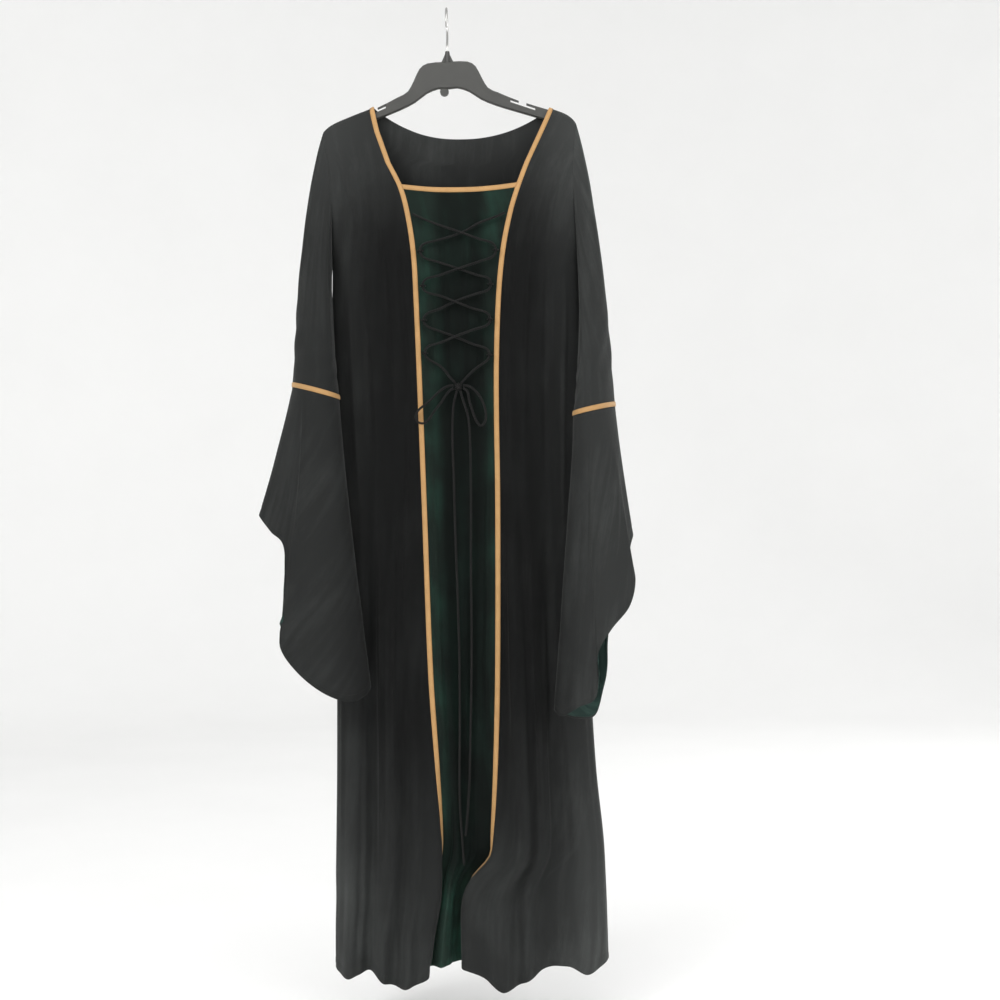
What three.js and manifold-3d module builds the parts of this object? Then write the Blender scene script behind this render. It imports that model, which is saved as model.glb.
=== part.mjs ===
// A floor-length medieval dress of black velvet with a laced green velvet front, on a moulded hanger.
// Millimetres. +Z is up, the front faces -Y, and the origin is the top of the hook's inside, on its rod.
// A "drop" is a distance below the origin, so a point's Z is minus its drop.
// A cloth panel is worked out as its outer face, and its wall goes inwards from there.
import * as THREE from "three";
import { mergeVertices } from "three/addons/utils/BufferGeometryUtils.js";
import Module from "manifold-3d";

const wasm = await Module();
wasm.setup();

// Driving dimensions
const VELVET = 1.6; // cloth with its pile
const LINING = 1.2;
const SEAM_GAP = 0.4; // between the pieces at a seam
const LAY = 0.5; // between a panel and what lies on it
const ARMHOLE_GAP = 1;
const TRIM_WIDTH = 8;
const TRIM_THICK = 1.2;
const LACE_WIDE = 4;
const LOOP_WIDE = 2.4; // the small loops that hold the lace
const LOOP_SLACK = 0.9; // between a loop and the lace in it
const NECK_FRONT = 300; // drop of the green panel's top edge at its ends
const NECK_DIP = 7; // how much lower that edge lies in its middle
const ARMHOLE_TOP = 204; // drop of the armhole's highest point
const UNDERARM = 436; // drop of its lowest point
const ARMHOLE_OPEN = 24; // how far its edge stands from the hook's plane, half-way down
const LOWEST = 1640; // drop of the hem's lowest point
const BACK_HEM = 1628; // drop of the back's hem in its middle
const BACK_HEM_RISE = 12; // how much higher it lies at the side seams
const HEM_RISE = 8; // sets how much higher the green panel's hem lies in its middle
const ARM_THICK = 10; // the hanger's arm, front to back
const ARM_CLEAR = 2.1; // from the arm's top to the cloth over it
const ARM_LOOSE = 2.4; // from the arm's faces to the cloth beside them
const OVER_ARM = ARM_THICK / 2 + ARM_LOOSE + VELVET; // radius of the cloth's outer face over the arm
const SHOULDER_BLEND = 150; // how far below the arm the body takes its full depth
const SECTION_SQUARE = 2.4; // two exponents of the body's cross-section
const SECTION_ROUND = 0.56;
const TURN_SHARE = 0.16; // share of a black front's width that turns in to its seam
const FOLD_OVER = 0.1; // share of that width from the seam to the crest that folds over the trim
const SLEEVE_ROUND = 12; // how far an upper sleeve's outer side bows out
const SLEEVE_CLEAR = 2.4; // between an upper sleeve and the body's side
const CUFF_GAP = 0.7; // between an upper sleeve and its bell
const HANGER_TILT = 0.0314; // the right arm rises by this much for each millimetre to the right

// The hanger's top and underside, right half: distance out and drop.
const ARM_TOP = [
  { out: 0, drop: 88 },
  { out: 34, drop: 89 },
  { out: 48, drop: 98 },
  { out: 58, drop: 118 },
  { out: 68, drop: 135 },
  { out: 85, drop: 144 },
  { out: 120, drop: 160 },
  { out: 168, drop: 177 },
  { out: 198, drop: 189 },
  { out: 212, drop: 200 },
  { out: 222, drop: 216 },
];
const ARM_UNDER = [
  { out: 0, drop: 134 },
  { out: 16, drop: 133 },
  { out: 36, drop: 140 },
  { out: 56, drop: 154 },
  { out: 82, drop: 166 },
  { out: 113, drop: 177 },
  { out: 151, drop: 190 },
  { out: 198, drop: 206 },
];
const ARM_END = 211;

// The dress seen from the front: its sides, and the two seams between the black fronts and the green panel.
const OUTLINE = [
  { drop: 160, leftSide: -214, leftSeam: -127, rightSeam: 176, rightSide: 218 },
  { drop: 204, leftSide: -213, leftSeam: -118, rightSeam: 156, rightSide: 216 },
  { drop: 250, leftSide: -206, leftSeam: -104, rightSeam: 134, rightSide: 211 },
  { drop: 303, leftSide: -201, leftSeam: -79, rightSeam: 113, rightSide: 210 },
  { drop: 350, leftSide: -199, leftSeam: -67, rightSeam: 98, rightSide: 211 },
  { drop: 417, leftSide: -201, leftSeam: -58, rightSeam: 84, rightSide: 216 },
  { drop: 504, leftSide: -203, leftSeam: -54.5, rightSeam: 75, rightSide: 218 },
  { drop: 640, leftSide: -203, leftSeam: -51, rightSeam: 69.5, rightSide: 218 },
  { drop: 840, leftSide: -203, leftSeam: -46.5, rightSeam: 68.5, rightSide: 221 },
  { drop: 1120, leftSide: -206, leftSeam: -40.5, rightSeam: 63.5, rightSide: 225 },
  { drop: 1290, leftSide: -209, leftSeam: -32, rightSeam: 57, rightSide: 232 },
  { drop: 1400, leftSide: -212, leftSeam: -28, rightSeam: 50, rightSide: 242 },
  { drop: 1432, leftSide: -213, leftSeam: -29, rightSeam: 42, rightSide: 244 },
  { drop: 1468, leftSide: -214, leftSeam: -31, rightSeam: 8, rightSide: 245 },
  { drop: 1500, leftSide: -214, leftSeam: -33, rightSeam: -4, rightSide: 246 },
  { drop: 1560, leftSide: -216, leftSeam: -43, rightSeam: -7, rightSide: 247 },
  { drop: 1640, leftSide: -217, leftSeam: -50, rightSeam: -7, rightSide: 248 },
];

// How deep the dress stands in front of and behind the hook's plane.
const DEPTH = [
  { drop: 160, front: 9, back: 9 },
  { drop: 240, front: 20, back: 15 },
  { drop: 303, front: 27, back: 18 },
  { drop: 417, front: 33, back: 24 },
  { drop: 640, front: 38, back: 30 },
  { drop: 840, front: 44, back: 36 },
  { drop: 1120, front: 52, back: 44 },
  { drop: 1290, front: 57, back: 50 },
  { drop: 1400, front: 61, back: 54 },
  { drop: 1468, front: 64, back: 56 },
  { drop: 1640, front: 72, back: 62 },
];
// How far each black front's edge turns back and under, and how far its cloth folds over the trim.
const TURNS = [
  { drop: 640, leftTurn: 0, rightTurn: 0, leftUnder: 0, rightUnder: 0, leftOver: 0, rightOver: 0 },
  { drop: 840, leftTurn: 0, rightTurn: 0, leftUnder: 0, rightUnder: 0, leftOver: 0, rightOver: 0 },
  { drop: 1120, leftTurn: 2, rightTurn: 1, leftUnder: 0, rightUnder: 0, leftOver: 0, rightOver: 0 },
  { drop: 1290, leftTurn: 8, rightTurn: 6, leftUnder: 0, rightUnder: 0, leftOver: 6, rightOver: 5 },
  { drop: 1400, leftTurn: 20, rightTurn: 16, leftUnder: 1, rightUnder: 1, leftOver: 11, rightOver: 9 },
  { drop: 1468, leftTurn: 30, rightTurn: 40, leftUnder: 5, rightUnder: 11, leftOver: 15, rightOver: 20 },
  { drop: 1640, leftTurn: 40, rightTurn: 52, leftUnder: 12, rightUnder: 16, leftOver: 11, rightOver: 23 },
];

// The hem's drop across the front and the back, by X.
const FRONT_HEM = [
  { x: -230, drop: 1618 },
  { x: -193, drop: 1631 },
  { x: -155, drop: 1619 },
  { x: -127, drop: 1633 },
  { x: -89, drop: 1639 },
  { x: -45, drop: 1616 },
  { x: 20, drop: 1612 },
  { x: 50, drop: 1632 },
  { x: 70, drop: 1640 },
  { x: 100, drop: 1634 },
  { x: 135, drop: 1618 },
  { x: 176, drop: 1614 },
  { x: 214, drop: 1628 },
  { x: 260, drop: 1612 },
];

// Long folds. "top" and "hem" say how far across the panel a fold lies where it starts and at the hem.
const LEFT_FOLDS = [
  { top: 0.2, hem: 0.26, starts: 760, full: 1500, half: 0.12, rise: 15 },
  { top: 0.34, hem: 0.5, starts: 700, full: 1450, half: 0.11, rise: 17 },
  { top: 0.62, hem: 0.65, starts: 520, full: 1560, half: 0.1, rise: -15 },
  { top: 0.8, hem: 0.86, starts: 1080, full: 1560, half: 0.11, rise: 15 },
  { top: 0.42, hem: 0.16, starts: 390, full: 470, ends: 640, half: 0.13, rise: 5 },
];
const RIGHT_FOLDS = [
  { top: 0.15, hem: 0.29, starts: 640, full: 1540, half: 0.14, rise: 34 },
  { top: 0.3, hem: 0.47, starts: 580, full: 1450, half: 0.09, rise: 13 },
  { top: 0.5, hem: 0.6, starts: 620, full: 1500, half: 0.12, rise: -14 },
  { top: 0.72, hem: 0.84, starts: 1080, full: 1560, half: 0.12, rise: 17 },
  { top: 0.4, hem: 0.12, starts: 360, full: 450, ends: 620, half: 0.13, rise: 5 },
];
const BACK_FOLDS = [
  { top: 0.3, hem: 0.14, starts: 620, full: 1500, half: 0.07, rise: 15 },
  { top: 0.38, hem: 0.32, starts: 480, full: 1450, half: 0.08, rise: 20 },
  { top: 0.45, hem: 0.43, starts: 700, full: 1500, half: 0.05, rise: -12 },
  { top: 0.52, hem: 0.55, starts: 420, full: 1450, half: 0.08, rise: 22 },
  { top: 0.62, hem: 0.68, starts: 700, full: 1500, half: 0.06, rise: -12 },
  { top: 0.68, hem: 0.8, starts: 560, full: 1500, half: 0.08, rise: 18 },
];
// Across the green panel. A falling fold (a minus rise) goes back between the two black fronts.
const CENTRE_FOLDS = [
  { top: 0.5, hem: 0.5, starts: 640, full: 1150, ends: 1500, half: 0.46, rise: -26 },
  { top: 0.3, hem: 0.34, starts: 760, full: 1300, half: 0.17, rise: 8 },
  { top: 0.72, hem: 0.6, starts: 760, full: 1200, ends: 1500, half: 0.16, rise: 8 },
  { top: 0.45, hem: 0.45, starts: 1380, full: 1560, half: 0.4, rise: 24 },
];

// The end of each upper sleeve, where its gold band lies: a slanting oval.
const BAND_RING = {
  left: { x: -229.5, y: -36, drop: 650, halfX: 41, slantY: -16, halfY: 43, fallX: 12 },
  right: { x: 237, y: -36, drop: 688, halfX: 36.5, slantY: 16, halfY: 43, fallX: -8 },
};

// The bell cuffs' hems. "turn" is the angle round the band, from its left end by way of the front.
const LEFT_BELL_HEM = [
  { turn: 0, x: -326, y: -46, drop: 852 },
  { turn: 26, x: -304, y: -76, drop: 880 },
  { turn: 46, x: -281, y: -92, drop: 903 },
  { turn: 60, x: -278, y: -99, drop: 955 },
  { turn: 74, x: -284, y: -105, drop: 1030 },
  { turn: 86, x: -286, y: -108, drop: 1070 },
  { turn: 104, x: -255, y: -110, drop: 1114 },
  { turn: 124, x: -212, y: -104, drop: 1148 },
  { turn: 146, x: -172, y: -98, drop: 1160 },
  { turn: 168, x: -145, y: -84, drop: 1146 },
  { turn: 190, x: -148, y: -67, drop: 1126 },
  { turn: 215, x: -186, y: -58, drop: 1106 },
  { turn: 245, x: -230, y: -56, drop: 1050 },
  { turn: 280, x: -258, y: -52, drop: 975 },
  { turn: 310, x: -268, y: -44, drop: 905 },
  { turn: 336, x: -298, y: -36, drop: 866 },
];
const RIGHT_BELL_HEM = [
  { turn: 0, x: 160, y: -82, drop: 1182 },
  { turn: 18, x: 172, y: -96, drop: 1190 },
  { turn: 38, x: 200, y: -106, drop: 1174 },
  { turn: 56, x: 228, y: -110, drop: 1156 },
  { turn: 70, x: 231, y: -108, drop: 1092 },
  { turn: 88, x: 254, y: -104, drop: 1050 },
  { turn: 106, x: 286, y: -98, drop: 1012 },
  { turn: 124, x: 297, y: -90, drop: 970 },
  { turn: 144, x: 289, y: -80, drop: 925 },
  { turn: 166, x: 297, y: -62, drop: 896 },
  { turn: 192, x: 290, y: -44, drop: 898 },
  { turn: 220, x: 266, y: -48, drop: 970 },
  { turn: 245, x: 254, y: -54, drop: 1060 },
  { turn: 264, x: 251, y: -58, drop: 1112 },
  { turn: 284, x: 243, y: -62, drop: 1150 },
  { turn: 304, x: 228, y: -64, drop: 1194 },
  { turn: 328, x: 195, y: -64, drop: 1198 },
  { turn: 345, x: 172, y: -70, drop: 1190 },
];

// The lace's route, chosen by hand: X, Y and drop down each stretch.
const LACE_FROM_LEFT = [
  [-62, -37, 352], [-50, -37.5, 358], [-20, -40, 371], [20, -44.4, 386], [50, -41.4, 397], [70, -40, 403],
  [76, -40, 410], [76.4, -40, 415], [76, -40, 420], [70, -40, 427],
  [50, -41.4, 434], [14, -45.4, 446], [-20, -42.4, 457], [-40.6, -41, 462],
  [-46.2, -41, 468], [-46.6, -41, 473], [-46.2, -41, 478], [-40.6, -41, 484],
  [-18, -42.6, 491], [6, -46.4, 501], [36, -43.4, 513], [58.6, -42.4, 520],
  [64.2, -42.4, 526], [64.6, -42.4, 531], [64.2, -42.4, 536], [58.6, -42.6, 542],
  [36, -44, 549], [6, -47.6, 560], [-20, -44.4, 570], [-38.6, -43, 575],
  [-44.2, -43, 581], [-44.6, -43, 586], [-44.2, -43, 591], [-38.6, -43, 597],
  [-18, -43.4, 610], [-4, -44.2, 627], [5.6, -45.75, 638.5],
];
const LACE_FROM_RIGHT = [
  [93, -36.6, 352], [80, -37.2, 358], [50, -38.4, 369], [20, -39, 385], [-20, -39, 397], [-43.6, -39, 403],
  [-49.6, -39, 409], [-50, -39, 414], [-49.6, -39, 419], [-43.6, -39, 426],
  [-20, -39.4, 434], [14, -40.4, 446], [48, -40.8, 458], [61, -41, 461],
  [66.6, -41, 467], [67, -41, 472], [66.6, -41.2, 477], [61, -41.4, 483],
  [40, -41.4, 489], [6, -41.6, 501], [-20, -41.8, 513], [-39.6, -42, 520],
  [-45.2, -42, 526], [-45.6, -42, 531], [-45.2, -42, 536], [-39.6, -42, 542],
  [-20, -42.4, 550], [6, -42.8, 560], [36, -43, 573], [56.6, -43.4, 580],
  [62.2, -43.4, 586], [62.6, -43.4, 591], [62.2, -43.4, 596], [56.6, -43.4, 602],
  [38, -43.4, 615], [24, -44.2, 628], [14.4, -45.75, 638.5],
];
const BOW_LEFT = [
  [2.25, -48.6, 641.8], [-8, -48.6, 643], [-20, -49, 650], [-34, -49, 663], [-46, -49, 673], [-56, -49, 681],
  [-62, -49, 691], [-58, -49.6, 702], [-48, -50, 704], [-39, -50, 696], [-30, -50, 683], [-20, -50, 671],
  [-6, -49, 652], [2.2, -48.6, 646.3],
];
const BOW_RIGHT = [
  [17.75, -48.6, 641.8], [28, -48.6, 643.6], [40, -49, 653], [50, -49, 669], [55, -49, 686], [54, -49.6, 702],
  [47, -50, 710], [40, -50, 703], [34, -50, 688], [28, -49.6, 668], [25, -49, 652], [17.9, -48.6, 646.2],
];
const TAIL_LEFT = [
  [7.4, -48, 650.9], [2, -48.4, 672], [-1, -49, 720], [0, -49.6, 800], [1, -50, 900], [3, -50.4, 1000],
  [4, -50.8, 1100], [3, -51.2, 1200], [1, -51.6, 1290], [1, -52, 1350], [4, -52, 1405], [6, -52, 1443],
];
const TAIL_RIGHT = [
  [13.1, -48, 650.8], [18, -48.4, 668], [25, -49, 692], [28, -49.4, 730], [28, -50, 830], [26, -50.4, 940],
  [25, -50.8, 1060], [23, -51.2, 1150], [20, -51.6, 1230], [17, -52, 1310], [12, -52, 1370], [9, -52, 1394],
];
const KNOT = { x: 10, y: -48, drop: 644, halfX: 7.4, halfY: 5, halfZ: 7 };
// Where the loops stand on the green panel, beside the trim: X of the lace in the loop, and its drop.
const LOOPS = {
  loop_right_1: { x: 76.4, y: -40, drop: 415 },
  loop_right_2: { x: 67, y: -41, drop: 472 },
  loop_right_3: { x: 64.6, y: -42.4, drop: 531 },
  loop_right_4: { x: 62.6, y: -43.4, drop: 591 },
  loop_left_1: { x: -50, y: -39, drop: 414 },
  loop_left_2: { x: -46.6, y: -41, drop: 473 },
  loop_left_3: { x: -45.6, y: -42, drop: 531 },
  loop_left_4: { x: -44.6, y: -43, drop: 586 },
};

const mix = (a, b, t) => a + (b - a) * t;
const clamp = (t) => Math.min(1, Math.max(0, t));
const smooth = (t) => clamp(t) ** 2 * (3 - 2 * clamp(t));
const at = (x, y, drop) => new THREE.Vector3(x, y, -drop);

// A column of a table as a smooth function of another column, which rises down the table.
function column(rows, key, name) {
  const slope = rows.map((row, k) => {
    const before = rows[Math.max(0, k - 1)];
    const after = rows[Math.min(rows.length - 1, k + 1)];
    return (after[name] - before[name]) / (after[key] - before[key]);
  });
  return (where) => {
    let k = 0;
    while (k < rows.length - 2 && where > rows[k + 1][key]) k++;
    const a = rows[k];
    const b = rows[k + 1];
    const long = b[key] - a[key];
    const t = clamp((where - a[key]) / long);
    const bend = t * (1 - t) * long;
    const straight = mix(a[name], b[name], t * t * (3 - 2 * t));
    return straight + bend * ((1 - t) * slope[k] - t * slope[k + 1]);
  };
}

// Every column of a table of drops, by its name.
function columns(rows) {
  const names = Object.keys(rows[0]).filter((name) => name !== "drop");
  return Object.fromEntries(names.map((name) => [name, column(rows, "drop", name)]));
}

const outline = columns(OUTLINE);
const depth = columns(DEPTH);
const turns = columns(TURNS);
const armTop = column(ARM_TOP, "out", "drop");
const armUnder = column(ARM_UNDER, "out", "drop");
const frontHem = column(FRONT_HEM, "x", "drop");

// The drop of the cloth that lies over the hanger's arm.
const shoulderDrop = (x) => armTop(Math.abs(x)) - HANGER_TILT * x - ARM_CLEAR - VELVET;

// The back's neckline between the two shoulder points.
const NECK_LEFT = -127;
const NECK_RIGHT = 172;
const NECK_MIDDLE = 217;
function backTop(x) {
  if (x <= NECK_LEFT || x >= NECK_RIGHT) return shoulderDrop(x);
  const side = x < (NECK_LEFT + NECK_RIGHT) / 2 ? NECK_LEFT : NECK_RIGHT;
  const t = Math.abs((2 * x - NECK_LEFT - NECK_RIGHT) / (NECK_RIGHT - NECK_LEFT));
  return mix(NECK_MIDDLE, shoulderDrop(side), t ** 2.3);
}

// How far the armhole's edge stands from the hook's plane. Below the underarm it is the side seam, which lies
// in that plane.
function edgeDepth(drop) {
  const t = clamp((drop - ARMHOLE_TOP) / (UNDERARM - ARMHOLE_TOP));
  return ARMHOLE_OPEN * Math.sin(Math.PI * t) ** 0.7;
}

// How far the cloth stands in front of (or behind) the hook's plane, apart from its long folds.
function standOff(x, drop, deep) {
  const left = outline.leftSide(drop);
  const right = outline.rightSide(drop);
  const across = clamp(Math.abs((2 * x - left - right) / (right - left)));
  const edge = edgeDepth(drop);
  const full = edge + (deep - edge) * (1 - across ** SECTION_SQUARE) ** SECTION_ROUND;
  const below = Math.max(0, drop - shoulderDrop(x));
  const over = OVER_ARM * Math.sqrt(1 - (1 - Math.min(below, OVER_ARM) / OVER_ARM) ** 2);
  return over + smooth(below / SHOULDER_BLEND) * (full - OVER_ARM);
}

// The long folds' height at one place of a panel.
function folded(folds, across, drop) {
  let height = 0;
  for (const fold of folds) {
    const down = clamp((drop - fold.starts) / (LOWEST - fold.starts));
    const off = Math.abs(across - mix(fold.top, fold.hem, down)) / fold.half;
    const grown = smooth((drop - fold.starts) / (fold.full - fold.starts));
    const faded = fold.ends ? 1 - smooth((drop - fold.full) / (fold.ends - fold.full)) : 1;
    if (off < 1) height += fold.rise * grown * faded * (0.5 + 0.5 * Math.cos(Math.PI * off));
  }
  return height;
}

// A black front: "across" runs from the seam beside the green panel (0) to the armhole and side seam (1).
function frontSide(side, across, drop) {
  const left = side === "left";
  const seam = outline[side + "Seam"](drop);
  const edge = outline[side + "Side"](drop);
  const turned = clamp(1 - across / TURN_SHARE) ** 2;
  const crest = Math.min(1, Math.abs(across - FOLD_OVER) / FOLD_OVER);
  const over = turns[side + "Over"](drop) * (0.5 + 0.5 * Math.cos(Math.PI * crest));
  const under = turns[side + "Under"](drop) * turned - over;
  const x = mix(seam, edge, across);
  const fade = smooth((1 - across) / 0.1);
  const rise = folded(left ? LEFT_FOLDS : RIGHT_FOLDS, across, drop) * fade;
  const y = -standOff(x, drop, depth.front(drop)) - rise + turns[side + "Turn"](drop) * turned;
  return at(x + (left ? -under : under), Math.min(y, -SEAM_GAP / 2), drop);
}

// The green panel, from the left seam (0) to the right one (1).
function frontCentre(across, drop) {
  const left = frontSide("left", 0, drop);
  const right = frontSide("right", 0, drop);
  const fade = smooth(across / 0.12) * smooth((1 - across) / 0.12);
  const p = left.clone().lerp(right, across);
  p.y -= folded(CENTRE_FOLDS, across, drop) * fade;
  p.x = mix(left.x + SEAM_GAP, right.x - SEAM_GAP, across);
  return p;
}

// The back, from the left side (0) to the right side (1) as seen from the front.
function back(across, drop) {
  const x = mix(outline.leftSide(drop), outline.rightSide(drop), across);
  const fade = smooth(across / 0.06) * smooth((1 - across) / 0.06);
  const y = standOff(x, drop, depth.back(drop)) + folded(BACK_FOLDS, across, drop) * fade;
  return at(x, Math.max(y, SEAM_GAP / 2), drop);
}

// The oval at the end of an upper sleeve, at an angle from its left end by way of the front.
function bandRing(side, turn) {
  const ring = BAND_RING[side];
  const c = Math.cos(turn);
  return at(
    ring.x - ring.halfX * c,
    ring.y - ring.slantY * c - ring.halfY * Math.sin(turn),
    ring.drop - ring.fallX * c,
  );
}

// The armhole: the same edge that the front and the back end on.
function armhole(side, turn) {
  const left = side === "left";
  const c = left ? Math.cos(turn) : -Math.cos(turn);
  const top = shoulderDrop(outline[side + "Side"](ARMHOLE_TOP));
  const drop = mix(top, UNDERARM, 0.5 - 0.5 * c);
  const edge = Math.sin(turn) >= 0 ? frontSide(side, 1, drop) : back(left ? 0 : 1, drop);
  edge.x += left ? -ARMHOLE_GAP : ARMHOLE_GAP;
  if (Math.abs(Math.sin(turn)) < 1e-6) edge.y = 0;
  return edge;
}

// An upper sleeve, from its armhole (0) to its band (1).
function sleeve(side, turn, down) {
  const left = side === "left";
  const start = armhole(side, turn);
  const end = bandRing(side, turn);
  const outer = left ? Math.cos(turn) : -Math.cos(turn);
  const out = left ? -1 : 1;
  const round = Math.max(0, outer) * SLEEVE_ROUND * Math.sin(Math.PI * down ** 0.8);
  const p = new THREE.Vector3(
    mix(start.x, end.x, outer > 0 ? down : mix(down, down ** 2, -outer)) + out * round,
    mix(start.y, end.y, down ** mix(1, 0.72, Math.max(0, -outer))),
    mix(start.z, end.z, down),
  );
  const beside = outline[side + "Side"](-p.z) + out * (ARMHOLE_GAP + SLEEVE_CLEAR * smooth(down / 0.12));
  p.x = mix(p.x, out * Math.max(out * p.x, out * beside), smooth((p.y + 20) / 10));
  return p;
}

// A bell cuff, from the band (0) to its hem (1), at an angle in degrees.
function bell(side, turn, down) {
  const hem = side === "left" ? LEFT_BELL_HEM : RIGHT_BELL_HEM;
  const round = [
    { ...hem.at(-1), turn: hem.at(-1).turn - 360 },
    ...hem,
    { ...hem[0], turn: 360 },
    { ...hem[1], turn: hem[1].turn + 360 },
  ];
  const start = bandRing(side, THREE.MathUtils.degToRad(turn));
  const end = at(...["x", "y", "drop"].map((name) => column(round, "turn", name)(turn)));
  const flare = down ** 1.18;
  return new THREE.Vector3(
    mix(start.x, end.x, flare),
    mix(start.y, end.y, down ** 0.9),
    mix(start.z - CUFF_GAP, end.z, down),
  );
}

// The directions that a grid's outer face looks in, one for each of its points.
function facings(grid, round) {
  return grid.map((row, i) =>
    row.map((p, j) => {
      const n = row.length;
      const above = grid[Math.max(0, i - 1)][j];
      const below = grid[Math.min(grid.length - 1, i + 1)][j];
      const before = round ? row[(j + n - 1) % n] : row[Math.max(0, j - 1)];
      const after = round ? row[(j + 1) % n] : row[Math.min(n - 1, j + 1)];
      return below.clone().sub(above).cross(after.clone().sub(before)).normalize();
    }),
  );
}

// A closed shell between two grids of points: rows go down, and columns go left to right seen from outside.
function shell(outer, inner, round = false) {
  const rows = outer.length;
  const columns = outer[0].length;
  const points = [...outer.flat(), ...inner.flat()];
  const o = (i, j) => i * columns + (j % columns);
  const n = (i, j) => rows * columns + o(i, j);
  const index = [];
  const quad = (a, b, c, d) => index.push(a, b, c, a, c, d);
  const steps = round ? columns : columns - 1;
  for (let i = 0; i < rows - 1; i++)
    for (let j = 0; j < steps; j++) {
      quad(o(i, j), o(i + 1, j), o(i + 1, j + 1), o(i, j + 1));
      quad(n(i, j), n(i, j + 1), n(i + 1, j + 1), n(i + 1, j));
    }
  for (let j = 0; j < steps; j++) {
    quad(o(0, j), o(0, j + 1), n(0, j + 1), n(0, j));
    quad(o(rows - 1, j), n(rows - 1, j), n(rows - 1, j + 1), o(rows - 1, j + 1));
  }
  if (!round)
    for (let i = 0; i < rows - 1; i++) {
      quad(o(i, 0), n(i, 0), n(i + 1, 0), o(i + 1, 0));
      quad(o(i, columns - 1), o(i + 1, columns - 1), n(i + 1, columns - 1), n(i, columns - 1));
    }
  const geometry = new THREE.BufferGeometry().setFromPoints(points);
  geometry.setIndex(index);
  return geometry;
}

// A grid moved along its facings: outwards by a plus distance.
const moved = (grid, facing, by) =>
  grid.map((row, i) => row.map((p, j) => p.clone().addScaledVector(facing[i][j], by)));
const cloth = (grid, facing, thick, round) => shell(grid, moved(grid, facing, -thick), round);
const laidOn = (grid, facing, thick, round) =>
  shell(moved(grid, facing, LAY + thick), moved(grid, facing, LAY), round);
const without = (axis) => (v) => {
  v[axis] = 0;
  v.normalize();
};

const evenly = (count, from = 0, to = 1) =>
  Array.from({ length: count + 1 }, (_, k) => mix(from, to, k / count));

// Rows of the body's panels: some close together over the arm, counted from the top edge, then at drops.
const SHOULDER_ROWS = [0, 1, 3.5, 8, 20, 42];
const BODY_ROWS = [
  262, NECK_FRONT, NECK_FRONT + TRIM_WIDTH, 360, UNDERARM, 510, 600, 720, 850, 980, 1110, 1220, 1310, 1370,
  1410, 1445, 1475, 1510, 1560,
];
const CENTRE_FROM = SHOULDER_ROWS.length + BODY_ROWS.indexOf(NECK_FRONT);
// Columns across a panel: a black front's beyond its trim, the green panel's and the back's.
const SIDE_COLUMNS = [0.06, 0.13, 0.2, 0.28, 0.36, 0.44, 0.52, 0.6, 0.68, 0.77, 0.86, 0.94, 1];
const CENTRE_COLUMNS = [0, 0.02, 0.11, 0.21, 0.31, 0.41, 0.5, 0.59, 0.69, 0.79, 0.89, 0.98, 1];
const BACK_COLUMNS = [
  0, 0.025, 0.055, 0.095, 0.145, 0.201, 0.213, 0.27, 0.345, 0.42, 0.495, 0.57, 0.65, 0.73, 0.8, 0.85, 0.882,
  0.895, 0.925, 0.955, 0.98, 1,
];
const rowDrops = (top, hem) => [...SHOULDER_ROWS.map((below) => top + below), ...BODY_ROWS, hem];

// How far across a black front a place lies that is so many millimetres of cloth from its seam.
function acrossAt(side, drop, wide) {
  const step = 0.002;
  let across = 0;
  let done = 0;
  let last = frontSide(side, 0, drop);
  while (done < wide) {
    across += step;
    const next = frontSide(side, across, drop);
    done += next.distanceTo(last);
    last = next;
  }
  return across;
}

// The side edge of a front or back: in the armhole its wall goes straight in, and below it lies in the seam.
function faceSide(grid, facing, column, outward) {
  grid.forEach((row, i) => {
    if (-row[column].z < UNDERARM) without("x")(facing[i][column]);
    else facing[i][column].set(outward, 0, 0);
  });
}

const TOP_TRIES = 12; // enough for the drop to settle

// The drop of a column's top: where the column, whose X depends on the drop, meets the top edge.
function topDrop(edge, place) {
  let drop = edge(place(ARMHOLE_TOP));
  for (let k = 0; k < TOP_TRIES; k++) drop = edge(place(drop));
  return drop;
}

// A black front as a grid of points with their facings. Its seam is the grid's last column, or its first.
function frontSideGrid(side) {
  const left = side === "left";
  const place = (across) => (drop) => mix(outline[side + "Seam"](drop), outline[side + "Side"](drop), across);
  const dropsAt = (across) => rowDrops(topDrop(shoulderDrop, place(across)), frontHem(place(across)(LOWEST)));
  const grid = dropsAt(0).map((edge, i) => {
    const trimmed = acrossAt(side, edge, TRIM_WIDTH);
    const across = [0, trimmed, ...SIDE_COLUMNS.map((share) => mix(trimmed, 1, share))];
    const row = across.map((share) => frontSide(side, share, dropsAt(share)[i]));
    return left ? row.reverse() : row;
  });
  const facing = facings(grid, false);
  facing[0].forEach(without("y"));
  faceSide(grid, facing, left ? 0 : grid[0].length - 1, left ? -1 : 1);
  return { grid, facing, seam: left ? grid[0].length - 1 : 0 };
}

// The green panel in the same rows, from its neck edge down.
function frontCentreGrid() {
  const grid = [...BODY_ROWS.slice(BODY_ROWS.indexOf(NECK_FRONT)), null].map((station) =>
    CENTRE_COLUMNS.map((across) => {
      const middle = across * (1 - across);
      const x = mix(outline.leftSeam(LOWEST), outline.rightSeam(LOWEST), across);
      const hem = frontHem(x) - HEM_RISE * middle;
      const dip = station && station <= NECK_FRONT + TRIM_WIDTH ? 4 * NECK_DIP * middle : 0;
      return frontCentre(across, (station ?? hem) + dip);
    }),
  );
  return { grid, facing: facings(grid, false) };
}

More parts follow.
